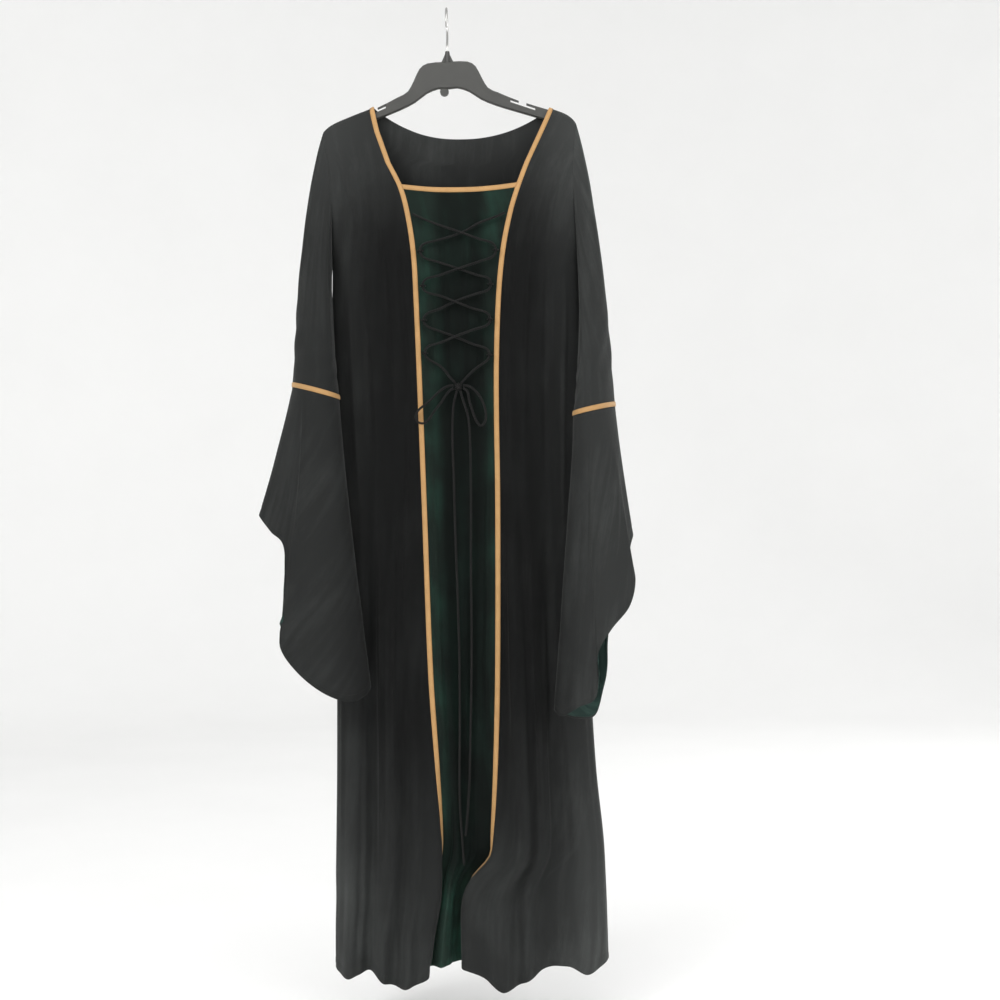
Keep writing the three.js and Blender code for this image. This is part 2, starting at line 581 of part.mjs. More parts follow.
// Sews an edge column of the green panel to a black front. Both share one facing there, half-way between
// their own, and the green one stands off by the gap along the cloth.
function sew(panel, column, onto) {
  const inward = column ? -1 : 1;
  panel.grid.forEach((row, i) => {
    const beside = onto.grid[i + CENTRE_FROM];
    const facing = onto.facing[i + CENTRE_FROM];
    const shared = panel.facing[i][column].clone().add(facing[onto.seam]).normalize();
    const along = row[column + inward].clone().sub(beside[onto.seam - inward]);
    along.addScaledVector(shared, -along.dot(shared)).setZ(0).normalize();
    row[column] = beside[onto.seam].clone().addScaledVector(along, SEAM_GAP);
    panel.facing[i][column] = shared.clone();
    facing[onto.seam] = shared.clone();
  });
}

const part = (grid, rows, columns) => grid.slice(...rows).map((row) => row.slice(...columns));

// The gold trim along a black front's edge.
function frontTrim({ grid, facing, seam }) {
  const edge = seam ? [-2] : [0, 2];
  return laidOn(part(grid, [0], edge), part(facing, [0], edge), TRIM_THICK);
}

// The gold trim along the green panel's top edge, clear of the two others.
function neckTrim({ grid, facing }) {
  return laidOn(part(grid, [0, 2], [1, -1]), part(facing, [0, 2], [1, -1]), TRIM_THICK);
}

function backPiece() {
  const rows = SHOULDER_ROWS.length + BODY_ROWS.length + 1;
  const grid = Array.from({ length: rows }, (_, i) =>
    BACK_COLUMNS.map((across) => {
      const top = topDrop(backTop, (drop) => mix(outline.leftSide(drop), outline.rightSide(drop), across));
      const hem = BACK_HEM - BACK_HEM_RISE * Math.abs(2 * across - 1) ** 3;
      return back(across, rowDrops(top, hem)[i]);
    }).reverse(),
  );
  const facing = facings(grid, false);
  facing[0].forEach((v, j) => {
    if (grid[0][j].x < NECK_LEFT || grid[0][j].x > NECK_RIGHT) without("y")(v);
  });
  faceSide(grid, facing, 0, 1);
  faceSide(grid, facing, BACK_COLUMNS.length - 1, -1);
  return cloth(grid, facing, VELVET);
}

const SLEEVE_COLUMNS = 18;
const SLEEVE_ROWS = [0, 0.07, 0.18, 0.32, 0.48, 0.64, 0.8];

// An upper sleeve and the gold band round its end.
function sleevePieces(side) {
  const angles = evenly(SLEEVE_COLUMNS, 0, 2 * Math.PI).slice(0, -1);
  const grid = SLEEVE_ROWS.map((down) => angles.map((turn) => sleeve(side, turn, down)));
  const long = (turn) => armhole(side, turn).distanceTo(bandRing(side, turn));
  for (const up of [TRIM_WIDTH, 0]) grid.push(angles.map((turn) => sleeve(side, turn, 1 - up / long(turn))));
  const facing = facings(grid, true);
  facing[0].forEach(without("x"));
  facing.at(-1).forEach(without("z"));
  return {
    sleeve: cloth(grid, facing, VELVET, true),
    band: laidOn(grid.slice(-2), facing.slice(-2), TRIM_THICK, true),
  };
}

const BELL_COLUMNS = 24;
const BELL_ROWS = 6;
const LINING_SHORT = 0.06; // share of its last row by which a lining stops short of the hem

// A bell cuff and its green lining, which stops short of the hem.
function bellPieces(side) {
  const angles = evenly(BELL_COLUMNS, 0, 360).slice(0, -1);
  const grid = evenly(BELL_ROWS).map((down) => angles.map((turn) => bell(side, turn, down)));
  const facing = facings(grid, true);
  facing[0].forEach(without("z"));
  const inside = moved(grid, facing, -VELVET - LAY).slice(1);
  const hem = inside.at(-1);
  inside[inside.length - 1] = hem.map((p, j) => p.clone().lerp(inside.at(-2)[j], LINING_SHORT));
  return {
    bell: cloth(grid, facing, VELVET, true),
    lining: shell(inside, moved(inside, facing.slice(1), -LINING), true),
  };
}

// A round cord along a route of points.
function cord(route, wide, sides, step) {
  const curve = new THREE.CatmullRomCurve3(route.map((p) => at(...p)));
  const steps = Math.min(80, Math.round(curve.getLength() / step));
  const section = new THREE.Shape();
  for (let k = 0; k < sides; k++) {
    const a = (2 * Math.PI * k) / sides;
    section[k ? "lineTo" : "moveTo"]((wide / 2) * Math.cos(a), (wide / 2) * Math.sin(a));
  }
  return new THREE.ExtrudeGeometry(section, { steps, extrudePath: curve, bevelEnabled: false });
}

// A small loop that stands round the lace, its two ends on the green panel.
function loop(place) {
  const round = LACE_WIDE / 2 + LOOP_WIDE / 2 + LOOP_SLACK;
  const foot = frontCentreY(place.x, place.drop) - 2 * LAY;
  const route = [[place.x - round, foot, place.drop]];
  for (const a of evenly(6, 180, 360))
    route.push([
      place.x + round * Math.cos(THREE.MathUtils.degToRad(a)),
      place.y + round * Math.sin(THREE.MathUtils.degToRad(a)),
      place.drop,
    ]);
  route.push([place.x + round, foot, place.drop]);
  return cord(route, LOOP_WIDE, 5, 3);
}

// The green panel's outer face at an X and a drop, where the panel lies almost straight across.
function frontCentreY(x, drop) {
  const left = frontSide("left", 0, drop);
  const right = frontSide("right", 0, drop);
  return frontCentre(clamp((x - left.x) / (right.x - left.x)), drop).y;
}

function knot() {
  const lump = new THREE.SphereGeometry(1, 12, 8);
  lump.scale(KNOT.halfX, KNOT.halfY, KNOT.halfZ);
  lump.translate(KNOT.x, KNOT.y, -KNOT.drop);
  return lump;
}

// A geometry as a solid that can be joined and cut, and back.
function solid(geometry) {
  const bare = geometry.clone();
  bare.deleteAttribute("normal");
  bare.deleteAttribute("uv");
  const merged = mergeVertices(bare, 1e-3);
  return new wasm.Manifold(
    new wasm.Mesh({
      numProp: 3,
      vertProperties: merged.attributes.position.array,
      triVerts: new Uint32Array(merged.index.array),
    }),
  );
}
function surface(made) {
  const mesh = made.getMesh();
  const geometry = new THREE.BufferGeometry();
  geometry.setAttribute("position", new THREE.BufferAttribute(mesh.vertProperties, 3));
  geometry.setIndex(new THREE.BufferAttribute(mesh.triVerts, 1));
  return geometry;
}

const BOSS_FOOT = 92; // drop of the foot of the boss that holds the hook
const HOOK_WIDE = 4;
const HOOK_INSIDE = 23; // the crook's inner radius
const BORE_FLOOR = 84; // drop of the floor of its bore
const BORE_LONG = 24;
const BOSS = [
  { radius: 0, drop: BOSS_FOOT },
  { radius: 4.9, drop: BOSS_FOOT },
  { radius: 4.9, drop: 84 },
  { radius: 4.4, drop: 76 },
  { radius: 3.6, drop: 70 },
  { radius: 0, drop: 70 },
];
// The right half of the web beside the boss.
const WEB = [
  { x: 3, drop: 72 },
  { x: 4, drop: 75 },
  { x: 8, drop: 84 },
  { x: 12, drop: 92 },
];
const WEB_THICK = 5;
const END_ROUND = 6; // how far the arm's top edge drops at its end
const ARM_BEVEL = 2.5;
const TAB = { x: -6, drop: 138.5, radius: 7.5, thick: 6 };
const STRAP_SLOT = { from: 106, to: 148, ledge: 2.7, high: 5.5, openFrom: 120, openTo: 133 };

// The hanger's flat moulding: its plate and two arms, the boss for the hook, the tab, and the strap slots.
function hangerBody() {
  const outs = [0, 20, 34, 42, 48, 53, 58, 63, 68, 76, 85, 102, 120, 144, 168, 184, 198, 206, ARM_END];
  const unders = [ARM_END - 4, 198, 151, 113, 97, 82, 68, 56, 46, 36, 26, 16, 0];
  const edge = [
    ...outs.map((out) => [out, armTop(out) + (out === ARM_END ? END_ROUND : 0)]),
    ...unders.map((out) => [out, armUnder(Math.min(out, 198))]),
  ];
  const mirrored = edge.slice(1, -1).reverse();
  const whole = [...edge, ...mirrored.map(([out, drop]) => [-out, drop])];
  const plate = flat(whole.map(([x, drop]) => [x, drop - HANGER_TILT * x]), ARM_THICK, ARM_BEVEL);
  const boss = new THREE.LatheGeometry(BOSS.map(({ radius, drop }) => new THREE.Vector2(radius, -drop)), 16);
  const webLeft = WEB.map(({ x, drop }) => [-x, drop]);
  const webRight = WEB.map(({ x, drop }) => [x, drop]).reverse();
  const web = flat([...webLeft, ...webRight], WEB_THICK);
  const tab = new THREE.CylinderGeometry(TAB.radius, TAB.radius, TAB.thick, 16);
  tab.translate(TAB.x, 0, -TAB.drop);
  const bore = new THREE.CylinderGeometry(HOOK_WIDE / 2 + SEAM_GAP, HOOK_WIDE / 2 + SEAM_GAP, BORE_LONG, 16);
  let made = solid(plate).add(solid(boss.rotateX(Math.PI / 2))).add(solid(web)).add(solid(tab));
  made = made.subtract(solid(bore.rotateX(Math.PI / 2).translate(0, 0, BORE_LONG / 2 - BORE_FLOOR)));
  for (const side of [-1, 1]) {
    const line = (out, below) => [side * out, armTop(out) + below - HANGER_TILT * side * out];
    const { from, to, ledge, high, openFrom, openTo } = STRAP_SLOT;
    const slot = [line(from, ledge), line(to, ledge), line(to, ledge + high), line(from, ledge + high)];
    const mouth = [line(openFrom, -4), line(openTo, -4), line(openTo, ledge + 1), line(openFrom, ledge + 1)];
    for (const opening of [slot, mouth]) made = made.subtract(solid(flat(opening, 3 * ARM_THICK)));
  }
  return surface(made);
}

// The wire hook, turned to face sideways: its crook lies front to back, over a rod that runs left to right.
function hook() {
  const round = HOOK_INSIDE + HOOK_WIDE / 2;
  const route = evenly(9, -120, 128).map((degrees) => {
    const a = THREE.MathUtils.degToRad(degrees);
    return [0, round * Math.sin(a), HOOK_INSIDE - round * Math.cos(a)];
  });
  route.push([0, 11, 48], [0, 3.4, 55], [0, 0.2, 62], [0, 0, 69], [0, 0, 76], [0, 0, BORE_FLOOR - SEAM_GAP]);
  return cord(route, HOOK_WIDE, 8, 6);
}

// A flat plate cut to an outline of X and drop, with its thickness front to back.
function flat(points, thick, bevel = 0) {
  const shape = new THREE.Shape();
  points.forEach(([x, drop], k) => shape[k ? "lineTo" : "moveTo"](x, -drop));
  const geometry = new THREE.ExtrudeGeometry(shape, {
    depth: thick - 2 * bevel,
    bevelEnabled: bevel > 0,
    bevelThickness: bevel,
    bevelSize: bevel * 0.7,
    bevelOffset: -bevel * 0.7,
    bevelSegments: 1,
  });
  return geometry.translate(0, 0, bevel - thick / 2).rotateX(Math.PI / 2);
}

const MATERIALS = {
  black: new THREE.MeshStandardMaterial({ color: 0x17181a, roughness: 0.85 }),
  green: new THREE.MeshStandardMaterial({ color: 0x0b3323, roughness: 0.8 }),
  gold: new THREE.MeshStandardMaterial({ color: 0xc99a5b, roughness: 0.5 }),
  lace: new THREE.MeshStandardMaterial({ color: 0x0d0e0d, roughness: 0.75 }),
  plastic: new THREE.MeshStandardMaterial({ color: 0x2c2c28, roughness: 0.5 }),
  wire: new THREE.MeshStandardMaterial({ color: 0x8c8c8c, roughness: 0.35, metalness: 1 }),
};

const dress = new THREE.Group();
function add(name, geometry, material) {
  const mesh = new THREE.Mesh(geometry, MATERIALS[material]);
  mesh.name = name;
  dress.add(mesh);
}

const leftFront = frontSideGrid("left");
const rightFront = frontSideGrid("right");
const centre = frontCentreGrid();
sew(centre, 0, leftFront);
sew(centre, CENTRE_COLUMNS.length - 1, rightFront);
add("front_side_left", cloth(leftFront.grid, leftFront.facing, VELVET), "black");
add("front_side_right", cloth(rightFront.grid, rightFront.facing, VELVET), "black");
add("front_centre", cloth(centre.grid, centre.facing, VELVET), "green");
add("back", backPiece(), "black");
add("trim_front_left", frontTrim(leftFront), "gold");
add("trim_front_right", frontTrim(rightFront), "gold");
add("trim_neck", neckTrim(centre), "gold");
for (const side of ["left", "right"]) {
  const upper = sleevePieces(side);
  const cuff = bellPieces(side);
  add("sleeve_upper_" + side, upper.sleeve, "black");
  add("sleeve_band_" + side, upper.band, "gold");
  add("sleeve_bell_" + side, cuff.bell, "black");
  add("bell_lining_" + side, cuff.lining, "green");
}
const LACES = {
  lace_from_left: { route: LACE_FROM_LEFT, step: 9 },
  lace_from_right: { route: LACE_FROM_RIGHT, step: 9 },
  bow_loop_left: { route: BOW_LEFT, step: 10 },
  bow_loop_right: { route: BOW_RIGHT, step: 10 },
  lace_tail_left: { route: TAIL_LEFT, step: 13 },
  lace_tail_right: { route: TAIL_RIGHT, step: 13 },
};
for (const [name, { route, step }] of Object.entries(LACES))
  add(name, cord(route, LACE_WIDE, 8, step), "lace");
add("lace_knot", knot(), "lace");
for (const [name, place] of Object.entries(LOOPS)) add(name, loop(place), "lace");
add("hanger_body", hangerBody(), "plastic");
add("hanger_hook", hook(), "wire");

export default dress;
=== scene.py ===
"""A floor-length medieval dress of black velvet with a laced green front, on a moulded hanger.

Metres, +Z up, the front faces -Y, and the origin is the top of the hook's inside. A "drop" is a distance
below it. Each cloth panel is worked out from the same tables as the model's solids, with the fine folds,
seams and hems added.
"""
import math
from collections import namedtuple

import bpy
import numpy as np
from mathutils import Matrix


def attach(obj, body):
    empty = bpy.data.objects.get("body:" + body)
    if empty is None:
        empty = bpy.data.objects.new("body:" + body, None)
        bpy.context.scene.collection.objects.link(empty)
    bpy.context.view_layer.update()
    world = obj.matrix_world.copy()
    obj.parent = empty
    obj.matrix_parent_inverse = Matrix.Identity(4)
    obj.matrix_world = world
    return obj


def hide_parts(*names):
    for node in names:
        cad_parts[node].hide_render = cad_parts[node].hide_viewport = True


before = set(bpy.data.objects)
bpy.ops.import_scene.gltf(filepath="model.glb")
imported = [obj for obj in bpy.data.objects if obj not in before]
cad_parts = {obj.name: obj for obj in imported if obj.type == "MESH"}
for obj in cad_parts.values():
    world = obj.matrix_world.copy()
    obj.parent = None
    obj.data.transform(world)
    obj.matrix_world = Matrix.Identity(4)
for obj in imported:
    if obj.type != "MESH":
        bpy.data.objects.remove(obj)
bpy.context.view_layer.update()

bl_info = {
    "name": "Medieval dress",
    "version": (1, 0, 0),
    "blender": (4, 5, 0),
    "location": "3D View > Sidebar > Dress",
    "description": "Makes a laced velvet dress with trumpet sleeves, on its hanger",
    "category": "Add Mesh",
}

# Columns of the tables: places in metres, turns in degrees, and "top", "hem" and "half" of a fold as shares
ArmEdge = namedtuple("ArmEdge", "out drop")
Outline = namedtuple("Outline", "drop left_side left_seam right_seam right_side")
Depth = namedtuple(
    "Depth", "drop front back left_turn right_turn left_under right_under left_over right_over")
Hem = namedtuple("Hem", "x drop")
Fold = namedtuple("Fold", "top hem starts full half rise ends", defaults=(None,))
BellHem = namedtuple("BellHem", "turn x y drop")
Ring = namedtuple("Ring", "x y drop half_x slant_y half_y fall_x")
Spot = namedtuple("Spot", "x y drop")


def rows(kind, table, kept=""):
    """A table's rows by their columns: millimetres become metres, apart from the columns that are kept."""
    kept = kept.split()
    return [kind(*(v if name in kept else v / 1000 for name, v in zip(kind._fields, row))) for row in table]


ARM_TOP = rows(ArmEdge, [
    (0, 88), (34, 89), (48, 98), (58, 118), (68, 135), (85, 144), (120, 160), (168, 177), (198, 189),
    (212, 200), (222, 216),
])
OUTLINE = rows(Outline, [
    (160, -214, -127, 176, 218), (204, -213, -118, 156, 216), (250, -206, -104, 134, 211),
    (303, -201, -79, 113, 210), (350, -199, -67, 98, 211), (417, -201, -58, 84, 216),
    (504, -203, -54.5, 75, 218), (640, -203, -51, 69.5, 218), (840, -203, -46.5, 68.5, 221),
    (1120, -206, -40.5, 63.5, 225), (1290, -209, -32, 57, 232), (1400, -212, -28, 50, 242),
    (1432, -213, -29, 42, 244), (1468, -214, -31, 8, 245), (1500, -214, -33, -4, 246),
    (1560, -216, -43, -7, 247), (1640, -217, -50, -7, 248),
])
DEPTH = rows(Depth, [
    (160, 9, 9, 0, 0, 0, 0, 0, 0), (240, 20, 15, 0, 0, 0, 0, 0, 0), (303, 27, 18, 0, 0, 0, 0, 0, 0),
    (417, 33, 24, 0, 0, 0, 0, 0, 0), (640, 38, 30, 0, 0, 0, 0, 0, 0), (840, 44, 36, 0, 0, 0, 0, 0, 0),
    (1120, 52, 44, 2, 1, 0, 0, 0, 0), (1290, 57, 50, 8, 6, 0, 0, 6, 5), (1400, 61, 54, 20, 16, 1, 1, 11, 9),
    (1468, 64, 56, 30, 40, 5, 11, 15, 20), (1640, 72, 62, 40, 52, 12, 16, 11, 23),
])
FRONT_HEM = rows(Hem, [
    (-230, 1618), (-193, 1631), (-155, 1619), (-127, 1633), (-89, 1639), (-45, 1616), (20, 1612),
    (50, 1632), (70, 1640), (100, 1634), (135, 1618), (176, 1614), (214, 1628), (260, 1612),
])
LEFT_FOLDS = rows(Fold, [
    (0.2, 0.26, 760, 1500, 0.12, 15), (0.34, 0.5, 700, 1450, 0.11, 17), (0.62, 0.65, 520, 1560, 0.1, -15),
    (0.8, 0.86, 1080, 1560, 0.11, 15), (0.42, 0.16, 390, 470, 0.13, 5, 640),
], kept="top hem half")
RIGHT_FOLDS = rows(Fold, [
    (0.15, 0.29, 640, 1540, 0.14, 34), (0.3, 0.47, 580, 1450, 0.09, 13), (0.5, 0.6, 620, 1500, 0.12, -14),
    (0.72, 0.84, 1080, 1560, 0.12, 17), (0.4, 0.12, 360, 450, 0.13, 5, 620),
], kept="top hem half")
BACK_FOLDS = rows(Fold, [
    (0.3, 0.14, 620, 1500, 0.07, 15), (0.38, 0.32, 480, 1450, 0.08, 20), (0.45, 0.43, 700, 1500, 0.05, -12),
    (0.52, 0.55, 420, 1450, 0.08, 22), (0.62, 0.68, 700, 1500, 0.06, -12), (0.68, 0.8, 560, 1500, 0.08, 18),
], kept="top hem half")
CENTRE_FOLDS = rows(Fold, [
    (0.5, 0.5, 640, 1150, 0.46, -26, 1500), (0.3, 0.34, 760, 1300, 0.17, 8),
    (0.72, 0.6, 760, 1200, 0.16, 8, 1500), (0.45, 0.45, 1380, 1560, 0.4, 24),
], kept="top hem half")
BELL_HEM = {
    "left": rows(BellHem, [
        (0, -326, -46, 852), (26, -304, -76, 880), (46, -281, -92, 903), (60, -278, -99, 955),
        (74, -284, -105, 1030), (86, -286, -108, 1070), (104, -255, -110, 1114), (124, -212, -104, 1148),
        (146, -172, -98, 1160), (168, -145, -84, 1146), (190, -148, -67, 1126), (215, -186, -58, 1106),
        (245, -230, -56, 1050), (280, -258, -52, 975), (310, -268, -44, 905), (336, -298, -36, 866),
    ], kept="turn"),
    "right": rows(BellHem, [
        (0, 160, -82, 1182), (18, 172, -96, 1190), (38, 200, -106, 1174), (56, 228, -110, 1156),
        (70, 231, -108, 1092), (88, 254, -104, 1050), (106, 286, -98, 1012), (124, 297, -90, 970),
        (144, 289, -80, 925), (166, 297, -62, 896), (192, 290, -44, 898), (220, 266, -48, 970),
        (245, 254, -54, 1060), (264, 251, -58, 1112), (284, 243, -62, 1150), (304, 228, -64, 1194),
        (328, 195, -64, 1198), (345, 172, -70, 1190),
    ], kept="turn"),
}
# Each lace: what its far end is, how it lies, its length in metres and its route
Lace = namedtuple("Lace", "far_end lay length route")
LACES = {
    "lace_from_left": Lace("knot", "taut", 0.64, rows(Spot, [
        (-62, -37, 352), (-50, -37.5, 358), (-20, -40, 371), (20, -44.4, 386), (50, -41.4, 397),
        (70, -40, 403), (76, -40, 410), (76.4, -40, 415), (76, -40, 420), (70, -40, 427), (50, -41.4, 434),
        (14, -45.4, 446), (-20, -42.4, 457), (-40.6, -41, 462), (-46.2, -41, 468), (-46.6, -41, 473),
        (-46.2, -41, 478), (-40.6, -41, 484), (-18, -42.6, 491), (6, -46.4, 501), (36, -43.4, 513),
        (58.6, -42.4, 520), (64.2, -42.4, 526), (64.6, -42.4, 531), (64.2, -42.4, 536), (58.6, -42.6, 542),
        (36, -44, 549), (6, -47.6, 560), (-20, -44.4, 570), (-38.6, -43, 575), (-44.2, -43, 581),
        (-44.6, -43, 586), (-44.2, -43, 591), (-38.6, -43, 597), (-18, -43.4, 610), (-4, -44.2, 627),
        (5.6, -45.75, 638.5),
    ])),
    "lace_from_right": Lace("knot", "taut", 0.63, rows(Spot, [
        (93, -36.6, 352), (80, -37.2, 358), (50, -38.4, 369), (20, -39, 385), (-20, -39, 397),
        (-43.6, -39, 403), (-49.6, -39, 409), (-50, -39, 414), (-49.6, -39, 419), (-43.6, -39, 426),
        (-20, -39.4, 434), (14, -40.4, 446), (48, -40.8, 458), (61, -41, 461), (66.6, -41, 467),
        (67, -41, 472), (66.6, -41.2, 477), (61, -41.4, 483), (40, -41.4, 489), (6, -41.6, 501),
        (-20, -41.8, 513), (-39.6, -42, 520), (-45.2, -42, 526), (-45.6, -42, 531), (-45.2, -42, 536),
        (-39.6, -42, 542), (-20, -42.4, 550), (6, -42.8, 560), (36, -43, 573), (56.6, -43.4, 580),
        (62.2, -43.4, 586), (62.6, -43.4, 591), (62.2, -43.4, 596), (56.6, -43.4, 602), (38, -43.4, 615),
        (24, -44.2, 628), (14.4, -45.75, 638.5),
    ])),
    "bow_loop_left": Lace("object", "hanging", 0.185, rows(Spot, [
        (2.25, -48.6, 641.8), (-8, -48.6, 643), (-20, -49, 650), (-34, -49, 663), (-46, -49, 673),
        (-56, -49, 681), (-62, -49, 691), (-58, -49.6, 702), (-48, -50, 704), (-39, -50, 696),
        (-30, -50, 683), (-20, -50, 671), (-6, -49, 652), (2.2, -48.6, 646.3),
    ])),
    "bow_loop_right": Lace("object", "hanging", 0.165, rows(Spot, [
        (17.75, -48.6, 641.8), (28, -48.6, 643.6), (40, -49, 653), (50, -49, 669), (55, -49, 686),
        (54, -49.6, 702), (47, -50, 710), (40, -50, 703), (34, -50, 688), (28, -49.6, 668), (25, -49, 652),
        (17.9, -48.6, 646.2),
    ])),
    "lace_tail_left": Lace("bare", "hanging", 0.79, rows(Spot, [
        (7.4, -48, 650.9), (2, -48.4, 672), (-1, -49, 720), (0, -49.6, 800), (1, -50, 900),
        (3, -50.4, 1000), (4, -50.8, 1100), (3, -51.2, 1200), (1, -51.6, 1290), (1, -52, 1350),
        (4, -52, 1405), (6, -52, 1443),
    ])),
    "lace_tail_right": Lace("bare", "hanging", 0.75, rows(Spot, [
        (13.1, -48, 650.8), (18, -48.4, 668), (25, -49, 692), (28, -49.4, 730), (28, -50, 830),
        (26, -50.4, 940), (25, -50.8, 1060), (23, -51.2, 1150), (20, -51.6, 1230), (17, -52, 1310),
        (12, -52, 1370), (9, -52, 1394),
    ])),
}
# Where the small loops stand: the place of the lace in each
LOOPS = {
    "right": rows(Spot, [(76.4, -40, 415), (67, -41, 472), (64.6, -42.4, 531), (62.6, -43.4, 591)]),
    "left": rows(Spot, [(-50, -39, 414), (-46.6, -41, 473), (-45.6, -42, 531), (-44.6, -43, 586)]),
}

BAND_RING = {
    "left": Ring(-0.2295, -0.036, 0.650, 0.041, -0.016, 0.043, 0.012),
    "right": Ring(0.237, -0.036, 0.688, 0.0365, 0.016, 0.043, -0.008),
}
SIDES = ("left", "right")

VELVET = 0.0016
LINING = 0.0012
LINING_GAP = 0.0004
LINING_FROM = 4
BELL_TUCK = 0.0003
SLEEVE_GAP = 0.0018
ARM_END = 0.204
HEM_DROP = 1.640
HEM_LINE = 0.014
BELL_HEM_LINE = 0.010
NECK_FRONT = 0.300
NECK_DIP = 0.007
UNDERARM = 0.436
OVER_ARM = 0.009
HANGER_TILT = 0.0314
ARM_CLEAR = 0.0021
NECK_LEFT = -0.127
NECK_RIGHT = 0.172
NECK_MIDDLE = 0.217
TRIM_WIDTH = 0.008
FOLD_OVER = 0.1
LACE_WIDE = 0.004
LOOP_WIDE = 0.0024
LOOP_SLACK = 0.0009
TRIM_LAY = 0.0002
LACE_STEP = 0.0025
LOOP_STEP = 0.0008
HOOK_STEP = 0.0015
KNOT_LACE = 0.0017
KNOT = {"x": 0.010, "y": -0.048, "drop": 0.644, "half_x": 0.0074, "half_y": 0.005, "half_z": 0.007}

# Fine creases that only the render shows: where each starts and ends across the panel and down it
Crease = namedtuple("Crease", "across_top across_end top end half rise")
SHARES = "across_top across_end half"
FRONT_CREASES = {
    "left": rows(Crease, [
        (0.1, 0.06, 340, 620, 0.03, 2.2), (0.22, 0.14, 360, 700, 0.035, -2),
        (0.42, 0.3, 300, 720, 0.045, 2), (0.66, 0.55, 330, 800, 0.05, -2.2),
        (0.82, 0.72, 420, 900, 0.04, 2.2), (0.12, 0.33, 620, 1120, 0.03, 3),
        (0.3, 0.4, 800, 1300, 0.028, -3), (0.52, 0.58, 860, 1500, 0.035, 3.4),
        (0.72, 0.76, 950, 1600, 0.032, -3.4), (0.05, 0.07, 1050, 1620, 0.024, 3),
        (0.93, 0.94, 800, 1620, 0.026, 2.4), (0.85, 0.6, 240, 400, 0.05, 1.8),
    ], kept=SHARES),
    "right": rows(Crease, [
        (0.08, 0.12, 310, 660, 0.026, 2.4), (0.2, 0.16, 330, 760, 0.03, -2.2),
        (0.4, 0.32, 300, 800, 0.042, 2.2), (0.6, 0.56, 340, 860, 0.048, -2.2),
        (0.84, 0.74, 440, 920, 0.04, 2.4), (0.1, 0.2, 760, 1300, 0.022, 3.2),
        (0.34, 0.4, 820, 1400, 0.028, -3.4), (0.52, 0.5, 940, 1550, 0.03, 3.4),
        (0.68, 0.7, 980, 1620, 0.032, -3.2), (0.9, 0.92, 860, 1620, 0.026, 2.6),
        (0.8, 0.58, 230, 400, 0.05, 1.8), (0.06, 0.09, 1300, 1630, 0.022, -3),
    ], kept=SHARES),
}
CENTRE_CREASES = rows(Crease, [
    (0.16, 0.2, 420, 660, 0.05, 2), (0.34, 0.36, 340, 700, 0.055, -2), (0.62, 0.58, 330, 720, 0.06, 2),
    (0.84, 0.8, 400, 700, 0.045, -2), (0.1, 0.14, 700, 1300, 0.045, 3.2),
    (0.9, 0.84, 700, 1250, 0.045, 3.2), (0.26, 0.2, 1300, 1620, 0.07, 3), (0.6, 0.66, 1340, 1620, 0.08, -3),
], kept=SHARES)
BACK_CREASES = rows(Crease, [
    (0.12, 0.08, 300, 900, 0.03, 2.4), (0.24, 0.2, 340, 1100, 0.032, -2.4),
    (0.36, 0.35, 280, 800, 0.034, 2.2), (0.5, 0.49, 300, 1000, 0.03, -2.4),
    (0.63, 0.64, 280, 900, 0.034, 2.4), (0.77, 0.76, 340, 1100, 0.03, -2.2),
    (0.89, 0.92, 320, 1000, 0.03, 2.4), (0.05, 0.04, 900, 1620, 0.024, 3),
    (0.2, 0.24, 1000, 1620, 0.026, 3.4), (0.4, 0.38, 1050, 1620, 0.024, -3.4),
    (0.6, 0.62, 1000, 1620, 0.026, 3.4), (0.74, 0.75, 1100, 1620, 0.024, -3.2),
    (0.95, 0.96, 900, 1620, 0.024, 2.8),
], kept=SHARES)


def mix(a, b, t):
    return a + (b - a) * t


def smooth(t):
    t = np.clip(t, 0.0, 1.0)
    return t * t * (3.0 - 2.0 * t)


def bump(off):
    """A soft rise: 1 in its middle, and 0 from where "off" is 1."""
    return 0.5 + 0.5 * np.cos(np.pi * np.clip(np.abs(off), 0.0, 1.0))


def peak(off):
    return np.exp(-(off ** 2))


def inside(across, width):
    """A share that grows from 0 to 1 over a width inside both edges of a panel."""
    return smooth(across / width) * smooth((1.0 - across) / width)


def place(x, y, drop):
    """Points from arrays of X, Y and drop."""
    return np.stack(np.broadcast_arrays(x, y, -np.asarray(drop, float)), axis=-1).astype(float)


def column(rows, key, name):
    """A column of a table as a smooth function of the key column, which rises down the table."""
    keys = np.array([getattr(row, key) for row in rows])
    values = np.array([getattr(row, name) for row in rows])
    before = np.maximum(np.arange(len(rows)) - 1, 0)
    after = np.minimum(np.arange(len(rows)) + 1, len(rows) - 1)
    slopes = (values[after] - values[before]) / (keys[after] - keys[before])

    def value(where):
        k = np.clip(np.searchsorted(keys, where, side="left") - 1, 0, len(keys) - 2)
        long = keys[k + 1] - keys[k]
        t = np.clip((where - keys[k]) / long, 0.0, 1.0)
        straight = mix(values[k], values[k + 1], t * t * (3.0 - 2.0 * t))
        return straight + t * (1.0 - t) * long * ((1.0 - t) * slopes[k] - t * slopes[k + 1])

    return value


OUTLINE_AT = {name: column(OUTLINE, "drop", name) for name in Outline._fields[1:]}
DEPTH_AT = {name: column(DEPTH, "drop", name) for name in Depth._fields[1:]}
arm_top = column(ARM_TOP, "out", "drop")
front_hem = column(FRONT_HEM, "x", "drop")


def shoulder_drop(x):
    """The drop of the cloth that lies over the hanger's arm."""
    return arm_top(np.abs(x)) - HANGER_TILT * x - ARM_CLEAR - VELVET


